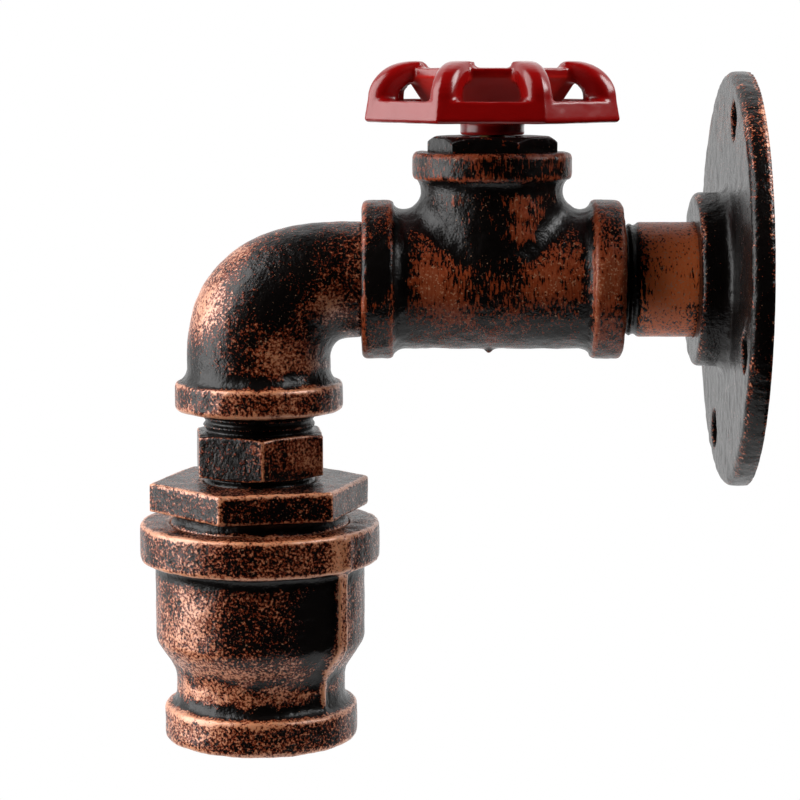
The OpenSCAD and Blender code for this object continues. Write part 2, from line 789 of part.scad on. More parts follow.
module reducing_bushing() color(iron) {
    difference() {
        union() {
            on_head(bushing_hex_low_z) rotate(bushing_turn) hexagon(bushing_af, bushing_hex_h);
            on_head(bushing_low_z) cylinder(r = big_r, h = bushing_hex_low_z - bushing_low_z);
        }
        on_head(bushing_seat_z) cylinder(r = thread_r, h = bushing_seat + past);
        on_head(bushing_low_z - past)
            cylinder(d = bushing_bore, h = bushing_seat_z - bushing_low_z + 2 * past);
    }
}

// Outline of the reducer below its upper face: the body draws in to the waist along two arcs
function reducer_side(body_r, waist_r) =
    [for (i = [0:2 * arc_steps])
        let (t = i / (2 * arc_steps),
            drop = reducer_waist_h - reducer_body_h)
        [body_r + (waist_r - body_r) * smooth(t), -reducer_body_h - drop * t]];

// A fin narrows with the body, and the moulds' parting line runs on from it over the upper collar
module reducer_fin() {
    top_z = -reducer_collar_h / 2;
    low_z = low_collar_h / 2 - reducer_h;
    out_r = big_r + reducer_wall + fin_proud;
    low_out_r = mouth_r + waist_wall + fin_low_proud;
    in_r = big_r + fin_sink;
    low_in_r = mouth_r + fin_sink;
    intersection() {
        turned(concat(
            [[in_r, top_z], [out_r, top_z]],
            reducer_side(out_r, low_out_r),
            [[low_out_r, low_z], [low_in_r, low_z], [low_in_r, -reducer_waist_h],
                [in_r, -reducer_body_h]]));
        rotate([90, 0, 90]) linear_extrude(out_r + past) polygon([
            [fin_w / 2, 0], [fin_w / 2, -reducer_body_h], [fin_low_w / 2, -reducer_waist_h],
            [fin_low_w / 2, -reducer_h], [-fin_low_w / 2, -reducer_h], [-fin_low_w / 2, -reducer_waist_h],
            [-fin_w / 2, -reducer_body_h], [-fin_w / 2, 0]]);
    }
    translate([in_r, -seam_w / 2, lip_r - reducer_collar_h])
        cube([reducer_collar_wall - fin_sink + seam_proud, seam_w, reducer_collar_h - 2 * lip_r]);
}

module bell_reducer() color(iron) {
    body_r = big_r + reducer_wall;
    waist_r = mouth_r + waist_wall;
    top_z = -reducer_collar_h / 2;
    low_z = low_collar_h / 2 - reducer_h;
    on_head(reducer_top_z) difference() {
        union() {
            turned(concat(
                [[0, top_z], [body_r, top_z]],
                reducer_side(body_r, waist_r),
                [[waist_r, low_z], [0, low_z]]));
            translate([0, 0, -reducer_collar_h]) band(big_r + reducer_collar_wall, reducer_collar_h);
            translate([0, 0, -reducer_h]) band(mouth_r + low_collar_wall, low_collar_h, low_lip_r);
            for (i = [0:1]) rotate(fin_turn + 180 * i) reducer_fin();
        }
        turned(concat(
            [[0, past], [big_r, past]],
            reducer_side(big_r, mouth_r),
            [[mouth_r, -reducer_h - past], [0, -reducer_h - past]]));
    }
}

module support_plate() color(steel)
    on_head(bushing_seat_z) tube(thread_r - plate_slip, tube_d / 2, plate_t);

module support_nut() color(steel)
    on_head(plate_top_z) difference() {
        hexagon(tube_nut_af, tube_nut_h, top = nut_chamfer);
        translate([0, 0, -past]) cylinder(d = tube_d, h = tube_nut_h + 2 * past);
    }

module support_tube() color(brass)
    on_head(block_top_z) tube(tube_d / 2, tube_bore / 2, tube_nut_z + tube_end - block_top_z);

module holder_cap() color(ceramic)
    difference() {
        on_head(cap_low_z) band(cap_r, cap_h, cap_lip);
        on_head(cap_low_z - past) cylinder(r = block_r, h = cap_h - cap_roof + past);
        on_head(cap_low_z) cylinder(d = tube_d, h = cap_h + past);
    }

module contact_block() color(ceramic)
    on_head(block_low_z) difference() {
        cylinder(r = block_r - block_slip, h = block_h);
        translate([0, 0, -past]) cylinder(r = contact_d / 2 + contact_gap, h = well_floor + 2 * past);
        translate([0, 0, well_floor]) cylinder(r = well_r, h = contact_flange_h + spring_h);
        translate([0, 0, block_h - core_recess_h]) cylinder(r = core_recess_r, h = core_recess_h + past);
        for (i = [0:1]) rotate(180 * i) {
            translate([terminal_r, 0, block_h - terminal_pocket_h])
                cylinder(r = terminal_pocket_r, h = terminal_pocket_h + past);
            translate([terminal_r, 0, block_h - terminal_pocket_h - terminal_shank_h])
                cylinder(r = terminal_shank_r, h = terminal_shank_h + past);
            translate([0, -core_d, block_h - core_recess_h])
                cube([terminal_r, 2 * core_d, core_recess_h + past]);
        }
    }

module terminal_screws() color(brass)
    for (i = [0:1])
        on_head(block_top_z - terminal_pocket_h) rotate(180 * i) translate([terminal_r, 0, 0]) {
            cylinder(r = terminal_head_r, h = terminal_head_h);
            translate([0, 0, -terminal_shank_h])
                cylinder(r = terminal_shank_r, h = terminal_shank_h + past);
        }

module holder_skirt() color(ceramic)
    difference() {
        on_head(0) turned([[0, cap_low_z], [cap_r, cap_low_z], [cap_r, skirt_step_z],
            [skirt_r, skirt_neck_z], [skirt_r, skirt_low_z], [0, skirt_low_z]]);
        on_head(block_low_z) cylinder(r = block_r, h = cap_low_z - block_low_z + past);
        on_head(skirt_low_z - past) cylinder(r = shell_r + shell_t, h = shell_top_z - skirt_low_z + past);
        on_head(skirt_low_z) cylinder(r = shell_r - shell_stop, h = cap_low_z - skirt_low_z);
    }

module screw_shell() color(brass)
    on_head(shell_low_z) tube(shell_r + shell_t, shell_r, shell_top_z - shell_low_z);

module contact_spring() color(steel)
    on_head(spring_low_z) tube(spring_r, spring_r - spring_t, spring_h);

module centre_contact() color(brass) {
    pin_r = contact_d / 2;
    flange_top = well_floor + contact_flange_h;
    on_head(block_low_z) turned(concat(
        [[0, -contact_out]],
        arc([pin_r - contact_tip_r, contact_tip_r - contact_out], contact_tip_r, -90, 0),
        [[pin_r, well_floor], [contact_flange_r, well_floor], [contact_flange_r, flange_top],
            [0, flange_top]]));
}

// The flex follows the elbow's bore, swings onto the head's axis and ends on the contact block
module head_flex() color(iron_dark)
    wire(concat(
        [[spigot_x, 0, 0], [(spigot_x + throat_x) / 2, 0, 0]],
        [for (i = [0:flex_bend_steps])
            let (a = 90 * i / flex_bend_steps)
            [throat_x - flex_bend_r * sin(a), 0, throat_z + flex_bend_r * cos(a)]],
        [[(flex_leg_x + 2 * head_x) / 3, 0, nipple_hex_z], [head_x, 0, nipple_hex_low_z],
            [head_x, 0, bushing_seat_z], [head_x, 0, block_top_z - core_recess_h]]), flex_r);

module tee_flex() color(iron_dark)
    wire([[spigot_x + flex_gap, 0, 0], [flex_split_x, 0, 0]], flex_r);

module switched_live() color(brown_core) wire(switched_route, core_r);

module supply_live() color(brown_core) wire(supply_route, core_r);

module neutral_lead() color(blue_core) wire(neutral_route, core_r);

floor_flange();
pipe_nipple();
tee();
bonnet();
switch_housing();
switch_base();
switch_terminals();
switch_washer();
switch_nut();
supply_live();
switched_live();
neutral_lead();
tee_flex();
handwheel();
handwheel_hub();
switch_shaft();
switch_rotor();
wheel_washer();
wheel_nut();
street_elbow();
hex_nipple();
reducing_bushing();
bell_reducer();
support_plate();
support_nut();
support_tube();
holder_cap();
contact_block();
holder_skirt();
screw_shell();
terminal_screws();
contact_spring();
head_flex();
centre_contact();
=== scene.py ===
import json
from math import cos, radians, sin, sqrt, tau

import bmesh
import bpy
import numpy as np
from mathutils import Matrix, Vector, noise


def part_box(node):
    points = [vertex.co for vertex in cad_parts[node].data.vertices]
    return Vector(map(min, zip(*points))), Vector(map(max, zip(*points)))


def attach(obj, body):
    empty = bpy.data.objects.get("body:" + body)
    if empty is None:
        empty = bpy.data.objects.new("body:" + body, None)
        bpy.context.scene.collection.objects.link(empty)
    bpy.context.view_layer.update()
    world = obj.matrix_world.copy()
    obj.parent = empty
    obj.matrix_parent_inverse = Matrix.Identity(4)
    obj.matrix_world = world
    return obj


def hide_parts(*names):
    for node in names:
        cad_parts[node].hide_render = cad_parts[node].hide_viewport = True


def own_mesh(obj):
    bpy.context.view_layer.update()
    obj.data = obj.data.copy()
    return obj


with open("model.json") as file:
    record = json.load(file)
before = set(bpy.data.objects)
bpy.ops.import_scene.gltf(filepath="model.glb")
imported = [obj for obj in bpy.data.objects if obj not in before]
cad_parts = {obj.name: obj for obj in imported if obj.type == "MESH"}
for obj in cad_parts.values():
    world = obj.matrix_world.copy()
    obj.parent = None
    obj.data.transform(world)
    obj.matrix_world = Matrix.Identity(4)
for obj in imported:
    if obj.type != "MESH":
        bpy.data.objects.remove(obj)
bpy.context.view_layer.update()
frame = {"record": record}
scene = bpy.context.scene


# Wall flange. A grey-iron casting with a threaded hub, faced flat on its back and drilled for four screws.
# It is sprayed black, and copper is dry-brushed over the black, as on every iron fitting after it.
mm = 0.001
around, finely_around = 96, 128
# A cut runs this far past the face that it opens
past = 1


def sizes_of(node):
    """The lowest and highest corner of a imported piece, in millimetres."""
    low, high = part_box(node)
    return low / mm, high / mm


def arc(centre, radius, start, end, steps=6):
    """Points (radius, height) along a rounded edge, between two angles in degrees."""
    angles = [radians(start + (end - start) * i / steps) for i in range(steps + 1)]
    return [(centre[0] + radius * cos(a), centre[1] + radius * sin(a)) for a in angles]


def spun(outline, steps=around):
    """A closed outline of (radius, height) points, turned about Z."""
    bm = bmesh.new()
    points = [bm.verts.new((r, 0, h)) for r, h in outline]
    sides = [bm.edges.new(pair) for pair in zip(points, points[1:] + points[:1])]
    bmesh.ops.spin(
        bm, geom=points + sides, cent=(0, 0, 0), axis=(0, 0, 1), angle=tau, steps=steps, use_merge=True)
    bmesh.ops.remove_doubles(bm, verts=bm.verts, dist=0.001)
    bmesh.ops.recalc_face_normals(bm, faces=bm.faces)
    return bm


def plug(radius, low, high, sides=64, top_radius=None):
    """A closed cylinder, cone or prism about Z, from one height to another."""
    bm = bmesh.new()
    bmesh.ops.create_cone(
        bm, cap_ends=True, segments=sides, radius1=radius,
        radius2=radius if top_radius is None else top_radius, depth=high - low,
        matrix=Matrix.Translation((0, 0, (low + high) / 2)))
    return bm


def placed(bm, *moves):
    """Moves a solid by each matrix in turn."""
    for move in moves:
        bmesh.ops.transform(bm, matrix=move, verts=bm.verts)
    return bm


def joined(name, solids):
    """One object, in millimetres, of several solids."""
    mesh = bpy.data.meshes.new(name)
    whole = bmesh.new()
    for bm in solids:
        bm.to_mesh(mesh)
        whole.from_mesh(mesh)
        bm.free()
    whole.to_mesh(mesh)
    whole.free()
    piece = bpy.data.objects.new(name, mesh)
    scene.collection.objects.link(piece)
    return piece


def settled(piece):
    """Applies the modifiers of a piece to its mesh, and turns its millimetres into metres."""
    bpy.context.view_layer.update()
    shaped = piece.evaluated_get(bpy.context.evaluated_depsgraph_get())
    piece.data = bpy.data.meshes.new_from_object(shaped)
    piece.modifiers.clear()
    piece.data.name = piece.name
    piece.data.transform(Matrix.Scale(mm, 4))
    piece.data.polygons.foreach_set("use_smooth", [True] * len(piece.data.polygons))
    return piece


def fused(name, solids, cuts=(), voxel=0.5, soften=4):
    """Joins closed solids into one casting without sharp edges, after taking the cuts out of them."""
    piece = joined(name, solids)
    if cuts:
        cutter = joined(name + "_cutter", cuts)
        cut = piece.modifiers.new("cut", "BOOLEAN")
        cut.operation = "DIFFERENCE"
        cut.use_self = True
        cut.object = cutter
    fuse = piece.modifiers.new("fuse", "REMESH")
    fuse.mode = "VOXEL"
    fuse.voxel_size = voxel
    soft = piece.modifiers.new("soften", "SMOOTH")
    soft.factor = 0.5
    soft.iterations = soften
    settled(piece)
    if cuts:
        bpy.data.objects.remove(cutter)
    return piece


def relaxed(points, ends, valence, rounds, share=1.0):
    """Points drawn towards their neighbours' middle, round after round."""
    count = len(points)
    a, b = ends
    for _ in range(rounds):
        middle = np.stack([
            (np.bincount(a, points[b, k], count) + np.bincount(b, points[a, k], count)) / valence
            for k in range(3)], axis=1)
        points = points + (middle - points) * share
    return points


def brushed(piece, strokes=(), lumps=0.1, fillet=0):
    """Fills a casting's hollows, gives it an uneven sand-cast skin and marks where the copper brush caught.
    The marks are attributes: edge and hollow come from the shape, and brush from the strokes, each of them
    (x, z, radius, amount) in millimetres. A negative amount keeps copper off, which at the hex nipple's necks
    is painted shade."""
    sunk_rounds, sunk_full = 12, 0.06
    lump_scale, lump_fade, lump_step, lump_octaves = 0.22, 1.0, 2.0, 3
    near_rounds, far_rounds = 4, 40
    edge_from, edge_range = 0.05, 0.1
    hollow_from, hollow_range = 0.06, 0.3
    mesh = piece.data
    count = len(mesh.vertices)
    points = np.empty(count * 3)
    mesh.vertices.foreach_get("co", points)
    points = points.reshape(-1, 3) / mm
    normals = np.empty(count * 3)
    mesh.vertex_normals.foreach_get("vector", normals)
    normals = normals.reshape(-1, 3)
    ends = np.empty(len(mesh.edges) * 2, np.int32)
    mesh.edges.foreach_get("vertices", ends)
    ends = ends.reshape(-1, 2).T
    valence = np.bincount(ends.ravel(), minlength=count)
    if fillet:
        sunk = ((relaxed(points, ends, valence, sunk_rounds) - points) * normals).sum(1)
        share = np.clip(sunk / sunk_full, 0, 1)[:, None]
        points = relaxed(points, ends, valence, fillet, share)
    swell = [noise.fractal(Vector(p) * lump_scale, lump_fade, lump_step, lump_octaves) for p in points]
    points = points + normals * np.array(swell)[:, None] * lumps
    near = relaxed(points, ends, valence, near_rounds)
    far = relaxed(near, ends, valence, far_rounds)
    stands_out = ((points - near) * normals).sum(1)
    lies_back = ((far - points) * normals).sum(1)
    marks = {
        "edge": np.clip((stands_out - edge_from) / edge_range, 0, 1),
        "hollow": np.clip((lies_back - hollow_from) / hollow_range, 0, 1),
        "brush": np.zeros(count)}
    for x, z, radius, amount in strokes:
        away = (points[:, 0] - x) ** 2 + (points[:, 2] - z) ** 2
        marks["brush"] += amount * np.exp(-away / radius ** 2)
    mesh.vertices.foreach_set("co", (points * mm).ravel())
    for name, values in marks.items():
        mark = mesh.attributes.new(name, "FLOAT", "POINT")
        mark.data.foreach_set("value", values.astype(np.float32))
    mesh.update()
    return piece


def put(tree, kind, inputs=None, **settings):
    """A shader node with its settings, and its inputs linked or set."""
    made = tree.nodes.new("ShaderNode" + kind)
    for name, value in settings.items():
        setattr(made, name, value)
    for key, value in (inputs or {}).items():
        if isinstance(value, bpy.types.NodeSocket):
            tree.links.new(value, made.inputs[key])
        else:
            made.inputs[key].default_value = value
    return made


def sums(tree, operation, a, b):
    """Two values added, multiplied or compared by a Math node."""
    return put(tree, "Math", {0: a, 1: b}, operation=operation).outputs[0]


def speckle(tree, vector, scale, detail=2.0, roughness=0.5):
    """A noise value over the surface."""
    made = put(tree, "TexNoise", {"Vector": vector, "Scale": scale, "Detail": detail, "Roughness": roughness})
    return made.outputs["Fac"]


def between(tree, value, low, high, to_low=0.0, to_high=1.0):
    """A value's place between two bounds, as a soft step."""
    bounds = {"Value": value, "From Min": low, "From Max": high, "To Min": to_low, "To Max": to_high}
    return put(tree, "MapRange", bounds, interpolation_type="SMOOTHSTEP").outputs["Result"]


def tinted(tree, factor, a, b):
    """A colour mixed from two."""
    return put(tree, "Mix", {0: factor, 6: a, 7: b}, data_type="RGBA").outputs[2]


def new_group(name, inputs, outputs):
    """An empty shader node group with named sockets, and its input and output nodes."""
    tree = bpy.data.node_groups.new(name, "ShaderNodeTree")
    for socket in inputs:
        tree.interface.new_socket(name=socket, in_out="INPUT", socket_type="NodeSocketFloat")
    for socket, kind in outputs.items():
        tree.interface.new_socket(name=socket, in_out="OUTPUT", socket_type="NodeSocket" + kind)
    return tree, tree.nodes.new("NodeGroupInput"), tree.nodes.new("NodeGroupOutput")


# The dry-brushed finish is black paint, with copper in grains and streaks where a nearly dry brush passed.
# Pale specks in it are painted glints, and its brighter orange copper is painted light
black_deep, black_worn = (0.003, 0.002, 0.0018, 1), (0.007, 0.005, 0.004, 1)
copper_thin, copper_painted_lit = (0.17, 0.02, 0.003, 1), (0.8, 0.17, 0.045, 1)
copper_thick, glint_fleck = (0.68, 0.265, 0.12, 1), (0.5, 0.26, 0.15, 1)
patch_scale, clump_scale, fleck_scale, streak_stretch = 130.0, 480.0, 1900.0, 0.2
grain_detail, grain_rough = 2.0, 0.6
copper_from, copper_full, thick_from, thick_full = 0.46, 0.54, 0.52, 0.72
fleck_from, fleck_full, fleck_share = 0.63, 0.77, 0.7
black_rough, copper_rough, copper_metal, gloss_full = 0.27, 0.38, 0.2, 0.6
dry_brush, given, result = new_group(
    "dry-brushed copper", ["Copper", "Shine", "Grain", "Streak", "Edge", "Warmth"],
    {"Color": "Color", "Roughness": "Float", "Metallic": "Float", "Gloss": "Float", "Height": "Float"})
here = put(dry_brush, "TexCoord").outputs["Object"]
upright = put(dry_brush, "Mapping", {"Vector": here, "Scale": (1.0, 1.0, streak_stretch)}).outputs[0]
edge = put(dry_brush, "Attribute", attribute_name="edge").outputs["Fac"]
hollow = put(dry_brush, "Attribute", attribute_name="hollow").outputs["Fac"]
brush = put(dry_brush, "Attribute", attribute_name="brush").outputs["Fac"]
grains = speckle(dry_brush, here, given.outputs["Grain"], grain_detail, grain_rough)
streaks = speckle(dry_brush, upright, given.outputs["Grain"], grain_detail, grain_rough)
bristles = put(dry_brush, "Mix", {0: given.outputs["Streak"], 2: grains, 3: streaks}).outputs[0]
patches = sums(dry_brush, "SUBTRACT", speckle(dry_brush, here, patch_scale), 0.5)
clumps = sums(dry_brush, "SUBTRACT", speckle(dry_brush, here, clump_scale), 0.5)
level = given.outputs["Copper"]
weights = [(patches, 0.3), (clumps, 0.2), (brush, 0.2), (edge, given.outputs["Edge"]), (hollow, -0.45)]
for mark, weight in weights:
    level = sums(dry_brush, "ADD", level, sums(dry_brush, "MULTIPLY", mark, weight))
deposit = sums(dry_brush, "ADD", bristles, level)
copper = between(dry_brush, deposit, copper_from, copper_full)
thick = between(dry_brush, deposit, thick_from, thick_full)
thick = sums(dry_brush, "MULTIPLY", thick, given.outputs["Shine"])
# Pale specks, more of them where the copper is heavy, are painted glints
fleck_level = sums(dry_brush, "MULTIPLY", level, 0.4)
glint_flecks = sums(dry_brush, "ADD", speckle(dry_brush, here, fleck_scale, 1.0), fleck_level)
glint_flecks = between(dry_brush, glint_flecks, fleck_from, fleck_full, 0.0, fleck_share)
# Sparse copper is mixed towards a brighter orange here: painted light, strongest on the pipe
thin_tint = tinted(dry_brush, given.outputs["Warmth"], copper_thin, copper_painted_lit)
copper_tint = tinted(dry_brush, thick, thin_tint, copper_thick)
black_tint = tinted(dry_brush, patches, black_deep, black_worn)
brushed_tint = tinted(dry_brush, copper, black_tint, copper_tint)
finish_values = {
    "Color": tinted(dry_brush, glint_flecks, brushed_tint, glint_fleck),
    "Roughness": between(dry_brush, copper, 0.0, 1.0, black_rough, copper_rough),
    "Metallic": sums(dry_brush, "MULTIPLY", thick, copper_metal),
    "Gloss": between(dry_brush, thick, 0.0, gloss_full),
    "Height": sums(dry_brush, "ADD", grains, sums(dry_brush, "MULTIPLY", clumps, 2.0))}
for socket, value in finish_values.items():
    dry_brush.links.new(value, result.inputs[socket])


def new_material(name):
    """A material with an empty tree but for its output, and a Principled shader linked to it."""
    made = bpy.data.materials.new(name)
    made.use_nodes = True
    tree = made.node_tree
    tree.nodes.clear()
    shader = put(tree, "BsdfPrincipled")
    tree.links.new(shader.outputs[0], put(tree, "OutputMaterial").inputs["Surface"])
    return made, tree, shader


def coppered(name, copper=0.0, shine=1.0, grain=1650.0, streak=0.0, edge=0.25, painted_light=0.0):
    """Black paint over iron with dry-brushed copper: how much, how bright, how fine, how streaky,
    how bare the edges are and how far the sparse copper is brightened to orange, which is painted light."""
    made, tree, shader = new_material(name)
    finish = put(tree, "Group", node_tree=dry_brush)
    settings = {
        "Copper": copper, "Shine": shine, "Grain": grain, "Streak": streak, "Edge": edge, "Warmth": painted_light}
    for socket, value in settings.items():
        finish.inputs[socket].default_value = value
    tree.links.new(finish.outputs["Color"], shader.inputs["Base Color"])
    tree.links.new(finish.outputs["Roughness"], shader.inputs["Roughness"])
    tree.links.new(finish.outputs["Metallic"], shader.inputs["Metallic"])
    tree.links.new(finish.outputs["Gloss"], shader.inputs["Coat Weight"])
    shader.inputs["Specular IOR Level"].default_value = 0.25
    shader.inputs["Coat IOR"].default_value = 1.65
    shader.inputs["Coat Roughness"].default_value = 0.38
    bump = put(tree, "Bump", {"Height": finish.outputs["Height"], "Strength": 0.4, "Distance": 0.0003})
    tree.links.new(bump.outputs[0], shader.inputs["Normal"])
    return made


def fitted(piece, body, slot, material, *nodes):
    """Lets a finished piece stand for packed ones, on the body that carries them."""
    piece.data.materials.clear()
    piece.data.materials.append(material)
    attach(piece, body)
    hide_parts(*nodes)


flange_low, flange_high = sizes_of("floor_flange")
plate_r, hub_h = flange_high.z, -flange_low.x
plate_t, plate_edge, faced = 5.0, 1.8, 0.5
hub_r, hub_foot, lip = 20.2, 2.2, 1.2
thread_r = 13.2
screw_holes = next(m["dims"] for m in frame["record"]["mounts"] if m["name"] == "wall_flange")
screw_turn = -19
along_pipe = Matrix.Rotation(radians(-90), 4, "Y")

flange_outline = [(thread_r, 0), (plate_r, 0)]
flange_outline += arc((plate_r - plate_edge, plate_t - plate_edge), plate_edge, 0, 90)
flange_outline += arc((hub_r + hub_foot, plate_t + hub_foot), hub_foot, 270, 180)
flange_outline += arc((hub_r - lip, hub_h - lip), lip, 0, 90)
flange_outline += [(thread_r, hub_h)]
drills = []
for i in range(screw_holes["count"]):
    turn = Matrix.Rotation(radians(screw_turn + 360 * i / screw_holes["count"]), 4, "Z")
    out = Matrix.Translation((screw_holes["pcd_mm"] / 2, 0, 0))
    drills.append(placed(plug(screw_holes["hole_r_mm"], -past, plate_t + past), out, turn, along_pipe))
flange = fused("wall_flange", [placed(spun(flange_outline, finely_around), along_pipe)], drills, voxel=0.55)
flange_strokes = [(0, 36, 6, 0.9), (-9, 0, 14, -0.2)]
brushed(flange, flange_strokes, lumps=0.15)
# Facing took the uneven skin off the back
for point in flange.data.vertices:
    if point.co.x > -faced * mm:
        point.co.x = 0
flange_copper = coppered("flange copper", copper=-0.21, edge=0.18)
fitted(flange, "wall_pipe", "coppered_iron", flange_copper, "floor_flange")


# Pipe nipple. A short iron pipe with a taper thread at both ends, screwed into the flange and the tee.
# The last threads stay in view beside the tee, and the copper was brushed across it in fine streaks.
nipple_low, nipple_high = sizes_of("pipe_nipple")
tee_low, tee_high = sizes_of("tee")
pipe_r, pipe_bore_r, pipe_step = nipple_high.y, 10.45, 0.2
thread_pitch, thread_depth = 1.8, 0.9
thread_end, thread_run_out = -tee_high.x, 2.2


def threads(first_crest, count=3):
    """Points (radius, height) of a few threads, a crest and a root by turns."""
    points = []
    for i in range(count):
        crest = first_crest + i * thread_pitch
        points += [(thread_r, crest), (thread_r - thread_depth, crest + thread_pitch / 2)]
    return points


pipe_outline = [
    (pipe_bore_r, -nipple_high.x), (thread_r, -nipple_high.x), (thread_r, hub_h), (pipe_r, hub_h + pipe_step),
    (pipe_r, thread_end - thread_run_out * thread_pitch)]
pipe_outline += threads(thread_end - 2 * thread_pitch)
pipe_outline += [
    (thread_r, thread_end + thread_pitch), (thread_r, -nipple_low.x), (pipe_bore_r, -nipple_low.x)]
pipe_solid = placed(spun(pipe_outline, finely_around), along_pipe)
nipple = fused("pipe_nipple_threaded", [pipe_solid], voxel=0.4, soften=2)
pipe_strokes = [(0.6 - thread_end, z, 3, -1.4) for z in range(-12, 13, 4)] + [(-19, 3, 12, 0.8)]
brushed(nipple, pipe_strokes, lumps=0.03)
# The pipe's copper is brightened to orange as painted light, standing in for the light that falls on it
pipe_copper = coppered("pipe copper", copper=0.0, shine=0.12, grain=2000, streak=0.85, edge=0.1, painted_light=0.9)
fitted(nipple, "wall_pipe", "coppered_iron", pipe_copper, "pipe_nipple")


# Tee. A cast-iron fitting, beaded at each of its three mouths and filleted where the branch rises.
# It screws onto the pipe, its branch holds the switch, and its gate left a nub underneath.
tee_x = (tee_low.x + tee_high.x) / 2
tee_half, tee_rise, collar_r = tee_high.x - tee_x, tee_high.z, tee_high.y
run_r, branch_r, collar_w, branch_collar_h = 16.1, 16.3, 7.4, 6.4
blend_r, blend_sink, blend_turn, blend_loops, blend_steps, blend_back = 6.0, 0.3, 77, 16, 6, 1.3
nub_r, nub_place = 1.1, (-0.6, -1.5, -run_r)
# The hidden end of a plain wall lies this far inside the collar or the bend round it
tuck = 2
on_branch = Matrix.Translation((tee_x, 0, 0))


def collar(radius, low, high, edge=lip, hole=thread_r):
    """A beaded collar about Z with rounded edges."""
    outline = [(hole, low)] + arc((radius - edge, low + edge), edge, -90, 0)
    outline += arc((radius - edge, high - edge), edge, 0, 90) + [(hole, high)]
    return spun(outline)


def tee_blend():
    """The fillet that a ball leaves as it rolls through the corner between run and branch."""
    bm = bmesh.new()
    loops = []
    from_branch, from_run = branch_r + blend_r - blend_sink, run_r + blend_r - blend_sink
    for k in range(blend_loops + 1):
        turn = radians(blend_turn * (2 * k / blend_loops - 1))
        side = Vector((cos(turn), sin(turn), 0)) * from_branch
        ball = Vector((side.x, side.y, sqrt(from_run ** 2 - side.y ** 2)))
        to_run = -Vector((0, ball.y, ball.z)).normalized()
        to_branch = -side.normalized()
        points = [ball + to_run.slerp(to_branch, i / blend_steps) * blend_r for i in range(blend_steps + 1)]
        points.append(ball + (to_run + to_branch) * blend_r * blend_back)
        ring = [bm.verts.new(p) for p in points]
        loops.append([bm.edges.new(pair) for pair in zip(ring, ring[1:] + ring[:1])])
    for one, other in zip(loops, loops[1:]):
        bmesh.ops.bridge_loops(bm, edges=one + other)
    bmesh.ops.holes_fill(bm, edges=loops[0] + loops[-1])
    bmesh.ops.recalc_face_normals(bm, faces=bm.faces)
    return bm


nub = bmesh.new()
bmesh.ops.create_icosphere(nub, subdivisions=2, radius=nub_r, matrix=Matrix.Translation(nub_place))
tee_solids = [
    placed(plug(run_r, -tee_half + tuck, tee_half - tuck, around), along_pipe, on_branch),
    placed(collar(collar_r, -tee_half, -tee_half + collar_w), along_pipe, on_branch),
    placed(collar(collar_r, tee_half - collar_w, tee_half), along_pipe, on_branch),
    placed(plug(branch_r, 0, tee_rise - tuck, around), on_branch),
    placed(collar(collar_r, tee_rise - branch_collar_h, tee_rise), on_branch),
    placed(tee_blend(), on_branch),
    placed(tee_blend(), Matrix.Rotation(radians(180), 4, "Z"), on_branch),
    placed(nub, on_branch)]
tee_bores = [
    placed(plug(thread_r, -tee_half - past, tee_half + past, around), along_pipe, on_branch),
    placed(plug(thread_r, 0, tee_rise + past, around), on_branch)]
tee = fused("tee_casting", tee_solids, tee_bores)
tee_strokes = [
    (-74, 1, 7, 0.8), (-68, -4, 6, 0.6), (-45, 1, 7, 0.8), (-52, -5, 5, 0.4),
    (-53, 18, 3, 0.9), (-53, 12, 3, 0.7), (-61, 10, 8, -0.7), (-33, 2, 7, 1.2),
    (-33, -12, 5, 0.5), (-44, -11, 7, -0.4), (-85, 4, 7, -1.2)]
brushed(tee, tee_strokes, lumps=0.18, fillet=24)
tee_copper = coppered("tee copper", copper=-0.07, shine=0.12, grain=2000, streak=0.75, edge=0.2, painted_light=0.08)
fitted(tee, "wall_pipe", "coppered_iron", tee_copper, "tee")


# Bonnet. A hexagonal iron plug, painted gloss black, that closes the tee's branch and carries the switch.
# The switch's nut lies in a recess under the handwheel.
bonnet_low, bonnet_high = sizes_of("bonnet")
bonnet_af, bonnet_turn, bonnet_chamfer, bonnet_seat = 26.4, -9.5, 1.3, 0.5
nut_recess_r, nut_recess_h, switch_neck_r = 7.1, 2.6, 4.1
switch_room_r, bonnet_roof, bonnet_slack = 10.2, 6, 0.2
# create_cone puts its first corner 30 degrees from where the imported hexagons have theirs
first_corner = 30


def hexagon(across_flats, low, high, turn, top_chamfer=0.0, foot_chamfer=0.0):
    """A hexagonal prism about Z, and the cuts that chamfer its corners as a lathe does."""
    flat_r = across_flats / 2
    corner_r = flat_r / cos(radians(30))
    prism = placed(plug(corner_r, low, high, 6), Matrix.Rotation(radians(turn + first_corner), 4, "Z"))
    cuts = []
    for end, chamfer, out in ((high, top_chamfer, 1), (low, foot_chamfer, -1)):
        if chamfer:
            over = 2.0
            reach = over * chamfer / (corner_r - flat_r)
            cuts.append(spun([
                (flat_r - over, end + out * reach), (corner_r + over, end - out * (chamfer + reach)),
                (corner_r + over, end + out * (reach + past))]))
    return prism, cuts


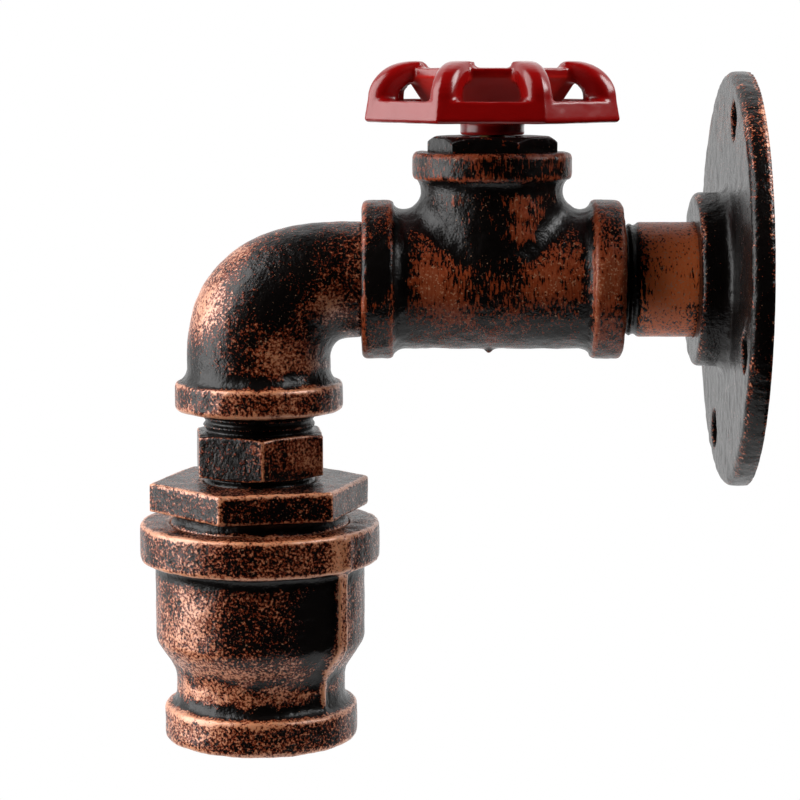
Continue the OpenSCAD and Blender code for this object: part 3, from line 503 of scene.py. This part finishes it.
bonnet_hex, bonnet_cuts = hexagon(
    bonnet_af, tee_rise - bonnet_seat, bonnet_high.z, bonnet_turn, bonnet_chamfer)
bonnet_cuts += [
    plug(nut_recess_r, bonnet_high.z - nut_recess_h, bonnet_high.z + past),
    plug(switch_room_r, bonnet_low.z - past, bonnet_high.z - bonnet_roof),
    plug(switch_neck_r, bonnet_low.z - past, bonnet_high.z + past)]
bonnet_thread = plug(thread_r - bonnet_slack, bonnet_low.z, tee_rise)
bonnet = fused(
    "bonnet_plug", [placed(bonnet_hex, on_branch), placed(bonnet_thread, on_branch)],
    [placed(cut, on_branch) for cut in bonnet_cuts], voxel=0.35, soften=3)
brushed(bonnet, lumps=0.03)
bonnet_black = coppered("bonnet black", copper=-0.22, grain=900, edge=0.12)
fitted(bonnet, "wall_pipe", "black_iron", bonnet_black, "bonnet")


# Handwheel. An eight-sided metal casting in gloss red enamel, with a rim, eight arched ribs and a dished hub.
# It sits on the switch's shaft, and a nut in the dish holds it down.
wheel_low, wheel_high = sizes_of("handwheel")
neck_low = sizes_of("handwheel_hub")[0].z
wheel_sides, wheel_turn, wheel_r = 8, -25.2, 31.3
wheel_z, wheel_h = wheel_low.z, wheel_high.z - wheel_low.z
rim_h, rim_t, rim_lean, rim_edge = 4.9, 4.2, 0.9, 0.7
arch_w, arch_t, arch_top_t, arch_reach, arch_foot = 6.2, 5.2, 4.5, 10.5, 5.3
arch_over, arch_round, arch_end = 3.6, 1.7, 2.1
wheel_hub_r, wheel_hub_low_r, hub_band, hub_chamfer = 21.5, 14.5, 2.0, 1.2
hub_top, hub_floor, hub_low = 12.2, 4.4, 0.6
bowl_low_r, bowl_r = 9.0, 17.46
neck_r, stud_r, stud_low = 7.4, 2.5, -9
# An outline that closes on the axis stops this far from it
axis_r = 0.01
# A solid ends this far inside the face of the solid that it is fused with
overlap = 1


def arch_curve(reach, rise, start, end, steps=10):
    """Points (radius, height) of an arch's elliptic curve above the rim."""
    centre_r = wheel_r - rim_lean - arch_reach
    return [(centre_r + reach * x, arch_foot + rise * z) for x, z in arc((0, 0), 1, start, end, steps)]


def trimmed(bm, place, out):
    """Cuts a mesh along a plane, and drops what lies on its outer side."""
    everything = bm.verts[:] + bm.edges[:] + bm.faces[:]
    bmesh.ops.bisect_plane(bm, geom=everything, plane_co=place, plane_no=out, clear_outer=True)


arch_rise = wheel_h - arch_foot
arch_in = wheel_hub_r - arch_over
arch_outline = [(wheel_r - rim_edge, 0), (wheel_r, rim_edge)] + arch_curve(arch_reach, arch_rise, 0, 90)
arch_outline += arc((arch_in + arch_end, wheel_h - arch_end), arch_end, 90, 180)
arch_outline += [(arch_in, wheel_h - arch_top_t)]
arch_outline += arch_curve(arch_reach - arch_t, arch_rise - arch_top_t, 90, 0)
arch_outline += [(wheel_r - rim_lean - arch_t, 0)]
rib_from, sloped, sideways = 5, 0.3, 0.9
arches = []
for i in range(wheel_sides):
    rib = spun(arch_outline, wheel_sides)
    trimmed(rib, (0, arch_w / 2, 0), (0, 1, 0))
    trimmed(rib, (0, -arch_w / 2, 0), (0, -1, 0))
    trimmed(rib, (rib_from, 0, 0), (-1, 0, 0))
    bmesh.ops.holes_fill(rib, edges=rib.edges)
    bmesh.ops.recalc_face_normals(rib, faces=rib.faces)
    backs = []
    for face in rib.faces:
        outer_back = face.normal.x + face.normal.z > sloped
        inner_end = face.normal.z > -sloped and face.calc_center_median().x < arch_in + arch_end
        if abs(face.normal.y) < sideways and (outer_back or inner_end):
            backs.append(face)
    corners = [e for f in backs for e in f.edges if any(abs(o.normal.y) > sideways for o in e.link_faces)]
    bmesh.ops.bevel(
        rib, geom=corners, offset=arch_round, segments=4, profile=0.5, affect="EDGES", material=-1)
    arches.append(placed(rib, Matrix.Rotation(tau * i / wheel_sides, 4, "Z")))
rim_in = wheel_r - rim_lean - rim_t
rim_outline = [
    (rim_in, 0), (wheel_r - rim_edge, 0), (wheel_r, rim_edge), (wheel_r - rim_lean, rim_h), (rim_in, rim_h)]
rim = spun(rim_outline, wheel_sides)
hub = spun([
    (axis_r, hub_low), (wheel_hub_low_r, hub_low),
    (wheel_hub_r - hub_chamfer, hub_top - hub_band - hub_chamfer), (wheel_hub_r, hub_top - hub_band),
    (wheel_hub_r, hub_top), (axis_r, hub_top)], wheel_sides)
neck = plug(neck_r, neck_low - wheel_z, hub_low + overlap)
bowl = spun([
    (axis_r, hub_floor), (bowl_low_r, hub_floor), (bowl_r, hub_top), (bowl_r, hub_top + past),
    (axis_r, hub_top + past)])
stud_hole = plug(stud_r, stud_low, hub_floor + past)
on_wheel = Matrix.Translation((tee_x, 0, wheel_z)) @ Matrix.Rotation(radians(wheel_turn), 4, "Z")
wheel = fused(
    "handwheel_casting", [placed(part, on_wheel) for part in [rim, hub, neck, *arches]],
    [placed(bowl, on_wheel), placed(stud_hole, on_wheel)], voxel=0.38, soften=3)
brushed(wheel, lumps=0.05, fillet=14)

# The hub's downward faces are painted a lighter red, a painted highlight for the light that reaches under the
# hub, and there the enamel is also rougher and has no coat
underside_reach, underside_slant = 0.5, 3
hub_underside_mark = wheel.data.attributes.new("thin", "FLOAT", "POINT")
for point, mark in zip(wheel.data.vertices, hub_underside_mark.data):
    from_axis = sqrt((point.co.x / mm - tee_x) ** 2 + (point.co.y / mm) ** 2)
    on_hub = min(1, max(0, wheel_hub_r + underside_reach - from_axis))
    mark.value = on_hub * min(1, max(0, -underside_slant * point.normal.z))

enamel_deep, enamel_light = (0.2, 0.001, 0.001, 1), (0.26, 0.002, 0.002, 1)
enamel_hollow_shade, enamel_lit_underside = (0.16, 0.001, 0.002, 1), (0.48, 0.014, 0.01, 1)
shade_scale, peel_scale, peel_smooth, peel_rough, underside_rough = 60.0, 420.0, 0.20, 0.27, 0.2
red, red_tree, red_shader = new_material("red enamel")
red_place = put(red_tree, "TexCoord").outputs["Object"]
red_hollow = put(red_tree, "Attribute", attribute_name="hollow").outputs["Fac"]
red_underside = put(red_tree, "Attribute", attribute_name="thin").outputs["Fac"]
red_shade = tinted(red_tree, speckle(red_tree, red_place, shade_scale), enamel_deep, enamel_light)
# Darker red in the hollows is painted shade
red_shade = tinted(red_tree, red_hollow, red_shade, enamel_hollow_shade)
# Lighter red on the hub's underside is a painted highlight
red_tree.links.new(tinted(red_tree, red_underside, red_shade, enamel_lit_underside), red_shader.inputs["Base Color"])
red_peel = speckle(red_tree, red_place, peel_scale)
red_dull = sums(red_tree, "MULTIPLY", red_underside, underside_rough)
red_rough = between(red_tree, red_peel, 0.3, 0.7, peel_smooth, peel_rough)
red_rough = sums(red_tree, "ADD", red_rough, red_dull)
red_tree.links.new(red_rough, red_shader.inputs["Roughness"])
red_bump = put(red_tree, "Bump", {"Height": red_peel, "Strength": 0.1, "Distance": 0.0004})
red_tree.links.new(red_bump.outputs[0], red_shader.inputs["Normal"])
red_tree.links.new(between(red_tree, red_underside, 0.0, 1.0, 1.0, 0.0), red_shader.inputs["Coat Weight"])
red_shader.inputs["Coat IOR"].default_value = 1.35
red_shader.inputs["Coat Roughness"].default_value = 0.23
red_shader.inputs["Specular IOR Level"].default_value = 0.12
fitted(wheel, "wheel", "red_paint", red, "handwheel", "handwheel_hub")


# Street elbow. A cast-iron bend whose male end turns in the tee, and which grows towards its beaded mouth.
# It carries the whole lamp head.
elbow_low, elbow_high = sizes_of("street_elbow")
elbow_collar_r, leg_r, mouth_z = elbow_high.y, elbow_high.z, elbow_low.z
head_x = elbow_low.x + elbow_collar_r
elbow_r, throat_r, elbow_collar_h = 16.75, 4.0, 6.9
leg_gap, swivel_gap, flex_bore_r = 0.4, 0.05, 9.5
shoulder_h, shoulder_sink, elbow_thread = 1.4, 0.6, 13
leg_x = tee_low.x - leg_gap
throat = Vector((head_x + elbow_r + throat_r, 0, -(leg_r + throat_r)))
bend_sides, bend_steps, bend_full = 72, 20, 0.8
on_head = Matrix.Translation((head_x, 0, 0))


def drawn_on(bm, edges):
    """Extrudes a ring of edges in place, and returns its new edges and points."""
    made = bmesh.ops.extrude_edge_only(bm, edges=edges)["geom"]
    new_edges = [e for e in made if isinstance(e, bmesh.types.BMEdge)]
    new_points = [v for v in made if isinstance(v, bmesh.types.BMVert)]
    return new_edges, new_points


def eased(t):
    """A share from 0 to 1 that starts and ends slowly."""
    return t * t * (3 - 2 * t)


bend = bmesh.new()
across_pipe = Matrix.Translation((leg_x, 0, 0)) @ Matrix.Rotation(radians(90), 4, "Y")
bmesh.ops.create_circle(bend, segments=bend_sides, radius=leg_r, cap_ends=True, matrix=across_pipe)
ring_edges, ring_points = drawn_on(bend, [e for e in bend.edges if len(e.link_faces) == 1])
bmesh.ops.translate(bend, vec=(throat.x - leg_x, 0, 0), verts=ring_points)
ring_r = leg_r
step_turn = Matrix.Rotation(radians(-90 / bend_steps), 3, "Y")
for i in range(1, bend_steps + 1):
    t = i / bend_steps
    ring_edges, ring_points = drawn_on(bend, ring_edges)
    bmesh.ops.rotate(bend, cent=throat, matrix=step_turn, verts=ring_points)
    grown_r = leg_r + (elbow_r - leg_r) * eased(min(1, t / bend_full))
    inside = throat + Vector((-sin(radians(90 * t)), 0, cos(radians(90 * t)))) * throat_r
    bmesh.ops.scale(bend, vec=(grown_r / ring_r,) * 3, space=Matrix.Translation(-inside), verts=ring_points)
    ring_r = grown_r
ring_edges, ring_points = drawn_on(bend, ring_edges)
bmesh.ops.translate(bend, vec=(0, 0, mouth_z + tuck - throat.z), verts=ring_points)
bmesh.ops.holes_fill(bend, edges=ring_edges)
bmesh.ops.recalc_face_normals(bend, faces=bend.faces)

spigot = placed(plug(thread_r - swivel_gap, -elbow_high.x, -throat.x + tuck, around), along_pipe)
collar_top = mouth_z + elbow_collar_h
shoulder = plug(
    elbow_collar_r - lip, collar_top - lip, collar_top + shoulder_h, around, elbow_r - shoulder_sink)
elbow_collar = collar(elbow_collar_r, mouth_z, collar_top)
elbow = fused(
    "elbow_casting", [bend, spigot, placed(shoulder, on_head), placed(elbow_collar, on_head)],
    [placed(plug(thread_r, mouth_z - past, mouth_z + elbow_thread, around), on_head),
     placed(plug(flex_bore_r, -elbow_high.x - past, -throat.x, around), along_pipe)])
elbow_strokes = [
    (-126, -4, 8, 0.8), (-119, 7, 5, 0.7), (-111, -3, 9, -0.9), (-103, 7, 7, -0.7),
    (-96.5, -4.5, 4, 0.9), (-106.5, -18, 5.5, 0.8), (-129, -20, 6, -0.8), (-120, -20, 6, -0.4)]
brushed(elbow, elbow_strokes, lumps=0.14, fillet=40)
elbow_copper = coppered("elbow copper", copper=-0.01, streak=0.2)
fitted(elbow, "lamp_arm", "coppered_iron", elbow_copper, "street_elbow")


# Hex nipple. A turned iron nipple with a hexagon between two threads, screwed up into the elbow.
# A few threads stay in view above the hexagon.
hex_low, hex_high = sizes_of("hex_nipple")
bushing_low, bushing_high = sizes_of("reducing_bushing")
nipple_af, nipple_turn, nipple_gap, nipple_hex_h = 28.8, 36, 4.9, 10.1
nipple_top_chamfer, nipple_foot_chamfer = 0.5, 0.4
undercut, undercut_foot, undercut_top, first_thread, last_thread = 0.8, 0.6, 0.7, 1.6, 1.5
nipple_hex_top = mouth_z - nipple_gap
nipple_hex_low = nipple_hex_top - nipple_hex_h
nipple_hex, nipple_cuts = hexagon(
    nipple_af, nipple_hex_low, nipple_hex_top, nipple_turn, nipple_top_chamfer, nipple_foot_chamfer)
nipple_cuts.append(plug(flex_bore_r, hex_low.z - past, hex_high.z + past))
neck_outline = [
    (flex_bore_r, hex_low.z), (thread_r, hex_low.z), (thread_r, bushing_high.z),
    (thread_r - undercut, nipple_hex_low - undercut_foot),
    (thread_r - undercut, nipple_hex_top + undercut_top)]
neck_outline += threads(nipple_hex_top + first_thread)
neck_outline += [(thread_r, mouth_z + last_thread), (thread_r, hex_high.z), (flex_bore_r, hex_high.z)]
hex_nipple = fused(
    "hex_nipple_turned", [placed(nipple_hex, on_head), placed(spun(neck_outline), on_head)],
    [placed(cut, on_head) for cut in nipple_cuts], voxel=0.36, soften=1)
# The necks above and below the hexagon are kept free of copper: this black is painted shade in the gaps
# between the parts
nipple_strokes_and_shade = []
for x in (-12, -6, 0, 6, 12):
    nipple_strokes_and_shade += [(head_x + x, nipple_hex_top + 2.5, 3, -1.2), (head_x + x, nipple_hex_low - 2, 3, -1.2)]
nipple_strokes_and_shade += [(-104, -40, 7, 0.3), (-121, -40, 7, -0.7)]
brushed(hex_nipple, nipple_strokes_and_shade, lumps=0.06)
nipple_copper = coppered("hex nipple copper", copper=0.0, streak=0.3)
fitted(hex_nipple, "lamp_arm", "coppered_iron", nipple_copper, "hex_nipple")


# Reducing bushing. A large hexagon of cast iron with plain corners, over a short thread.
# It takes the hex nipple, and screws into the reducer.
bushing_af, bushing_turn, bushing_r = 45.3, 12.5, 21.1
bushing_hex_h, bushing_bore_r, bushing_neck, bushing_thread = 6.8, 11, 0.6, 14.9
bushing_hex_low = bushing_high.z - bushing_hex_h
reducer_low, reducer_high = sizes_of("bell_reducer")
bushing_hex, _ = hexagon(bushing_af, bushing_hex_low, bushing_high.z, bushing_turn)
screw_outline = [
    (bushing_bore_r, bushing_low.z), (bushing_r, bushing_low.z), (bushing_r, reducer_high.z),
    (bushing_r - thread_depth, reducer_high.z + bushing_neck),
    (bushing_r - thread_depth, bushing_hex_low + overlap), (bushing_bore_r, bushing_hex_low + overlap)]
bushing_hole = plug(thread_r, bushing_high.z - bushing_thread, bushing_high.z + past, around)
bushing = fused(
    "bushing_casting", [placed(bushing_hex, on_head), placed(spun(screw_outline), on_head)],
    [placed(bushing_hole, on_head)], voxel=0.48, soften=2)
bushing_strokes = [(-127, -50, 8, -0.3), (-105, -52, 9, -0.4)]
brushed(bushing, bushing_strokes, lumps=0.1)
bushing_copper = coppered("bushing copper", copper=-0.04)
fitted(bushing, "lamp_arm", "coppered_iron", bushing_copper, "reducing_bushing")


# Bell reducer. A cast-iron bell that narrows to a waist above its lower collar, with a fin down each side.
# It screws onto the bushing, and the lampholder sits inside it.
big_collar_r, big_collar_h, big_collar_edge = 28.15, 9.0, 0.8
low_collar_r, low_collar_h, low_collar_edge = 22.8, 8.6, 1.3
body_r, waist_r, mouth_r = 24.65, 19.9, 16.6
body_h, bell_h = 26.5, 36.5
body_z, waist_z = reducer_high.z - body_h, reducer_high.z - bell_h
fin_w, fin_low_w, fin_proud, fin_low_proud, fin_turn = 3.2, 1.6, 2.2, 0.8, -41.4
fin_sink, fin_top, fin_foot, fin_narrow = 0.5, 4.5, 4.3, 3
seam_w, seam_proud = 2.2, 0.35


def drawn_in(top_r, low_r, steps=14):
    """Points (radius, height) of the reducer's side, from its body in to its waist."""
    shares = [i / steps for i in range(steps + 1)]
    return [(top_r + (low_r - top_r) * eased(t), body_z + (waist_z - body_z) * t) for t in shares]


def ridge(outline, width):
    """A closed outline of (radius, height) points, as thick as a width across."""
    bm = bmesh.new()
    face = bm.faces.new([bm.verts.new((r, h, 0)) for r, h in outline])
    raised = bmesh.ops.extrude_face_region(bm, geom=[face])["geom"]
    raised_points = [v for v in raised if isinstance(v, bmesh.types.BMVert)]
    bmesh.ops.translate(bm, vec=(0, 0, width), verts=raised_points)
    bmesh.ops.recalc_face_normals(bm, faces=bm.faces)
    return placed(bm, Matrix.Translation((0, width / 2, 0)) @ Matrix.Rotation(radians(90), 4, "X"))


bell_outline = [(bushing_r, reducer_high.z - overlap), (body_r, reducer_high.z - overlap)]
bell_outline += drawn_in(body_r, waist_r)
bell_outline += [(waist_r, reducer_low.z + overlap), (mouth_r, reducer_low.z + overlap)]
bell_outline += drawn_in(bushing_r, mouth_r)[::-1]
fin_in, fin_low_in = bushing_r + fin_sink, mouth_r + fin_sink
fin_outline = [(fin_in, reducer_high.z - fin_top), (body_r + fin_proud, reducer_high.z - fin_top)]
fin_outline += drawn_in(body_r + fin_proud, waist_r + fin_low_proud, steps=10)
fin_outline += [(waist_r + fin_low_proud, reducer_low.z + fin_foot), (fin_low_in, reducer_low.z + fin_foot)]
fin_outline += [(fin_low_in, waist_z), (fin_in, body_z)]
seam_out = big_collar_r + seam_proud
seam_low, seam_top = reducer_high.z - big_collar_h + overlap, reducer_high.z - overlap
seam_outline = [(fin_in, seam_low), (seam_out, seam_low), (seam_out, seam_top), (fin_in, seam_top)]
fins = []
for half in (0, 180):
    on_side = Matrix.Rotation(radians(fin_turn + half), 4, "Z")
    fin = ridge(fin_outline, fin_w)
    narrow_end = [v for v in fin.verts if v.co.z < waist_z + fin_narrow]
    bmesh.ops.scale(fin, vec=(1, fin_low_w / fin_w, 1), verts=narrow_end)
    fins += [placed(fin, on_side, on_head), placed(ridge(seam_outline, seam_w), on_side, on_head)]
big_collar = collar(big_collar_r, reducer_high.z - big_collar_h, reducer_high.z, big_collar_edge, bushing_r)
low_collar = collar(low_collar_r, reducer_low.z, reducer_low.z + low_collar_h, low_collar_edge, mouth_r)
bell_solids = [placed(part, on_head) for part in (spun(bell_outline, finely_around), big_collar, low_collar)]
reducer = fused("reducer_casting", bell_solids + fins, voxel=0.52, soften=3)
reducer_strokes = [(-94.2, z, 2.0, 1.0) for z in range(-59, -84, -3)]
reducer_strokes += [(-95.5, -87, 2, 0.9), (-97, -91, 2, 0.9), (-97.4, -95, 2, 0.9)]
reducer_strokes += [(x, -91.5, 6, 0.45) for x in (-127, -119, -111, -103)]
reducer_strokes += [
    (-128, -98, 9, 0.5), (-129, -78, 8, 0.5), (-99.5, -73, 4.5, -1.7), (-99.5, -82, 4.5, -1.7),
    (-112, -78, 9, -0.4)]
brushed(reducer, reducer_strokes, lumps=0.15, fillet=16)
reducer_copper = coppered("reducer copper", copper=-0.02)
fitted(reducer, "lamp_arm", "coppered_iron", reducer_copper, "bell_reducer")


# Lampholder. A glazed porcelain skirt and cap round a rolled brass screw shell, with a sprung contact.
# It hangs inside the reducer by a brass tube that a nut holds in the bushing.
skirt_low, skirt_high = sizes_of("holder_skirt")
shell_low, shell_high = sizes_of("screw_shell")
block_low = sizes_of("contact_block")[0].z
cap_r, block_r = skirt_high.y, 17.0
skirt_gap, shell_r, shell_t, shell_seat = 0.6, 13.3, 0.6, 0.8
skirt_r, skirt_in, seat_r = mouth_r - skirt_gap, shell_r + shell_t, shell_r - shell_seat
skirt_step, skirt_neck, skirt_lip = body_z, (body_z + waist_z) / 2, 0.9
skirt_outline = arc((skirt_in + skirt_lip, skirt_low.z + skirt_lip), skirt_lip, 180, 270)
skirt_outline += arc((skirt_r - skirt_lip, skirt_low.z + skirt_lip), skirt_lip, -90, 0)
skirt_outline += [(skirt_r, skirt_neck), (cap_r, skirt_step), (cap_r, skirt_high.z), (block_r, skirt_high.z)]
skirt_outline += [(block_r, block_low), (seat_r, block_low), (seat_r, shell_high.z), (skirt_in, shell_high.z)]
skirt = settled(joined("porcelain_skirt", [placed(spun(skirt_outline, finely_around), on_head)]))

glaze_dark, glaze_light = (0.78, 0.75, 0.69, 1), (0.86, 0.84, 0.79, 1)
glaze, glaze_tree, glaze_shader = new_material("glazed porcelain")
glaze_place = put(glaze_tree, "TexCoord").outputs["Object"]
glaze_cloud = speckle(glaze_tree, glaze_place, scale=150.0, detail=3.0)
glaze_tint = tinted(glaze_tree, glaze_cloud, glaze_dark, glaze_light)
glaze_tree.links.new(glaze_tint, glaze_shader.inputs["Base Color"])
glaze_shader.inputs["Roughness"].default_value = 0.18
fitted(skirt, "lamp_arm", "porcelain", glaze, "holder_skirt")

# The shell's thread is rolled: one turn's wave is carried round and up, cut level and given its thickness
lamp_pitch, wave_depth, wave_steps, turn_steps = 3.62, 0.5, 12, 60
shell_rise, sheet_t, spare_turns = 0.2, 0.4, 3
turns = int((shell_high.z - shell_low.z) / lamp_pitch) + spare_turns
wave = bmesh.new()
wave_points = []
for i in range(wave_steps + 1):
    crest_r = shell_r - wave_depth + wave_depth * cos(tau * i / wave_steps)
    wave_points.append(wave.verts.new((crest_r, 0, shell_low.z - lamp_pitch + lamp_pitch * i / wave_steps)))
wave_line = [wave.edges.new(pair) for pair in zip(wave_points, wave_points[1:])]
bmesh.ops.spin(
    wave, geom=wave_points + wave_line, cent=(0, 0, 0), axis=(0, 0, 1), dvec=(0, 0, lamp_pitch / turn_steps),
    angle=tau * turns, steps=turn_steps * turns)
bmesh.ops.remove_doubles(wave, verts=wave.verts, dist=0.01)
trimmed(wave, (0, 0, shell_low.z + shell_rise), (0, 0, -1))
trimmed(wave, (0, 0, shell_high.z), (0, 0, 1))
bmesh.ops.recalc_face_normals(wave, faces=wave.faces)
bmesh.ops.solidify(wave, geom=wave.faces[:], thickness=sheet_t)
shell = settled(joined("rolled_shell", [placed(wave, on_head)]))


def metal(name, dark, light, roughness, scale=400.0):
    """A bare metal with a slightly clouded tint and a worn sheen."""
    made, tree, shader = new_material(name)
    cloud = speckle(tree, put(tree, "TexCoord").outputs["Object"], scale, 3.0)
    tree.links.new(tinted(tree, cloud, dark, light), shader.inputs["Base Color"])
    tree.links.new(between(tree, cloud, 0.3, 0.7, roughness, roughness + 0.12), shader.inputs["Roughness"])
    shader.inputs["Metallic"].default_value = 1.0
    return made


brass = metal("brass", dark=(0.58, 0.38, 0.13, 1), light=(0.76, 0.55, 0.24, 1), roughness=0.22)
fitted(shell, "lamp_arm", "brass", brass, "screw_shell")


def dressed(material, *nodes):
    """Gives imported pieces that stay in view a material."""
    for node in nodes:
        for slot in bpy.data.objects[node].material_slots:
            slot.material = material


dressed(glaze, "holder_cap", "contact_block")
dressed(brass, "support_tube", "terminal_screws", "centre_contact")
zinc = metal("zinc plate", dark=(0.46, 0.46, 0.45, 1), light=(0.62, 0.62, 0.61, 1), roughness=0.28)
dressed(zinc, "support_plate", "support_nut")

# The contact's spring is wound from wire, and the contact presses it together against the top of its well
spring_low, spring_high = sizes_of("contact_spring")
spring_h = spring_high.z - spring_low.z
wire_r, wire_sides, coil_turns, coil_steps = 0.28, 10, 3, 36
coil_h = spring_h - 2 * wire_r
wire_place = Matrix.Translation((spring_high.y - wire_r, 0, spring_low.z + wire_r))
coil = bmesh.new()
bmesh.ops.create_circle(
    coil, segments=wire_sides, radius=wire_r, matrix=wire_place @ Matrix.Rotation(radians(90), 4, "X"))
bmesh.ops.spin(
    coil, geom=coil.verts[:] + coil.edges[:], cent=(0, 0, 0), axis=(0, 0, 1),
    dvec=(0, 0, coil_h / coil_turns / coil_steps), angle=tau * coil_turns, steps=coil_turns * coil_steps)
bmesh.ops.holes_fill(coil, edges=coil.edges)
bmesh.ops.recalc_face_normals(coil, faces=coil.faces)
spring = settled(joined("wound_spring", [placed(coil, on_head)]))
fitted(spring, "lamp_arm", "steel", zinc, "contact_spring")
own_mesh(spring)


# Rotary switch. A zinc-plated can with a brass shaft and with tags on a moulded base.
# A nut holds it in the bonnet, and a washer and a nut on the shaft's end hold the handwheel.
dressed(zinc, "switch_housing", "switch_washer", "switch_nut", "wheel_washer", "wheel_nut")
dressed(brass, "switch_terminals")
# The shaft, seen only in the gap under the handwheel, gets a much darker brass as painted shade
shaded_brass = metal("dull brass", dark=(0.10, 0.06, 0.02, 1), light=(0.16, 0.10, 0.04, 1), roughness=0.4)
dressed(shaded_brass, "switch_shaft")


def moulded(name, tint, roughness=0.5):
    """A plastic or rubber in one colour with a faint grain."""
    made, tree, shader = new_material(name)
    grain = speckle(tree, put(tree, "TexCoord").outputs["Object"], 900.0)
    darker = [v * 0.8 for v in tint[:3]] + [1]
    tree.links.new(tinted(tree, grain, darker, tint), shader.inputs["Base Color"])
    shader.inputs["Roughness"].default_value = roughness
    return made


phenolic = moulded("brown phenolic", tint=(0.16, 0.07, 0.03, 1), roughness=0.4)
dressed(phenolic, "switch_base", "switch_rotor")


# Wiring. Two insulated leads from the wall, one through the switch, and a sheathed flex to the lampholder.
# All of it lies inside the pipe.
brown_core = moulded("brown core", tint=(0.20, 0.075, 0.03, 1))
blue_core = moulded("blue core", tint=(0.03, 0.10, 0.34, 1))
black_sheath = moulded("black sheath", tint=(0.02, 0.02, 0.02, 1), roughness=0.6)
dressed(brown_core, "supply_live", "switched_live")
dressed(blue_core, "neutral_lead")
dressed(black_sheath, "tee_flex", "head_flex")


# Studio. A round pale floor under the light, a surround that is white behind it and dark behind the camera,
# and two soft lamps. The floor fades into the white backdrop, and it isn't seen from below.
floor_x, floor_z, floor_r, fade_from = -0.07, -0.2, 0.16, 0.04
paper_white, paper_grey = (1, 1, 1, 1), (0.62, 0.62, 0.62, 1)
floor_mesh = bpy.data.meshes.new("floor")
floor_disc = bmesh.new()
floor_place = Matrix.Translation((floor_x, 0, floor_z))
bmesh.ops.create_circle(floor_disc, cap_ends=True, segments=64, radius=floor_r, matrix=floor_place)
floor_disc.to_mesh(floor_mesh)
floor_disc.free()
floor = bpy.data.objects.new("floor", floor_mesh)
scene.collection.objects.link(floor)

pale, pale_tree, pale_shader = new_material("pale floor")
pale_shader.inputs["Base Color"].default_value = paper_grey
pale_shader.inputs["Roughness"].default_value = 0.8
floor_point = put(pale_tree, "TexCoord").outputs["Object"]
to_middle = (-floor_x, 0, -floor_z)
from_middle = put(pale_tree, "VectorMath", {0: floor_point, 1: to_middle}, operation="ADD").outputs[0]
far_off = put(pale_tree, "VectorMath", {0: from_middle}, operation="LENGTH").outputs["Value"]
to_camera = put(pale_tree, "LightPath").outputs["Is Camera Ray"]
fade = sums(pale_tree, "MULTIPLY", between(pale_tree, far_off, fade_from, floor_r), to_camera)
white = put(pale_tree, "Emission", {"Color": paper_white, "Strength": 1.0})
top_side = put(pale_tree, "MixShader", {0: fade, 1: pale_shader.outputs[0], 2: white.outputs[0]})
under_side = put(pale_tree, "BsdfTransparent")
below = put(pale_tree, "NewGeometry").outputs["Backfacing"]
both_sides = put(pale_tree, "MixShader", {0: below, 1: top_side.outputs[0], 2: under_side.outputs[0]})
pale_tree.links.new(both_sides.outputs[0], pale_tree.nodes["Material Output"].inputs["Surface"])
floor_mesh.materials.append(pale)

world = bpy.data.worlds.new("studio")
world.use_nodes = True
scene.world = world
sky = world.node_tree
sky.nodes.clear()
way = put(sky, "SeparateXYZ", {0: put(sky, "TexCoord").outputs["Generated"]})
surround = between(sky, way.outputs["Y"], 0.1, 0.6)
shown = sums(sky, "MAXIMUM", put(sky, "LightPath").outputs["Is Camera Ray"], surround)
backdrop = put(sky, "Background", {"Color": paper_white, "Strength": shown})
sky.links.new(backdrop.outputs[0], put(sky, "OutputWorld").inputs["Surface"])


def softbox(name, place, aim, width, height, watts):
    """A rectangular lamp that faces a point."""
    lamp = bpy.data.lights.new(name, "AREA")
    lamp.shape = "RECTANGLE"
    lamp.size = width
    lamp.size_y = height
    lamp.energy = watts
    box = bpy.data.objects.new(name, lamp)
    box.location = place
    box.rotation_euler = (Vector(aim) - Vector(place)).to_track_quat("-Z", "Y").to_euler()
    scene.collection.objects.link(box)


lit_middle = (-0.07, 0, -0.02)
softbox("left softbox", place=(-0.95, -0.12, 0.32), aim=lit_middle, width=0.8, height=1.5, watts=22)
softbox("right softbox", place=(0.85, -0.14, 0.75), aim=lit_middle, width=0.7, height=0.7, watts=18)


# Camera. It has a long lens, and it stands level with the top of the handwheel and nearly square to the pipe.
# It looks down a little, at the middle of the light.
camera = bpy.data.objects.new("camera", bpy.data.cameras.new("camera"))
camera.data.sensor_width = 36
camera.data.lens = 112.5
camera.location = (-0.0803, -0.5804, 0.0506)
camera.rotation_euler = (radians(82.255), 0, 0)
scene.collection.objects.link(camera)
scene.camera = camera
scene.view_settings.view_transform = "Standard"
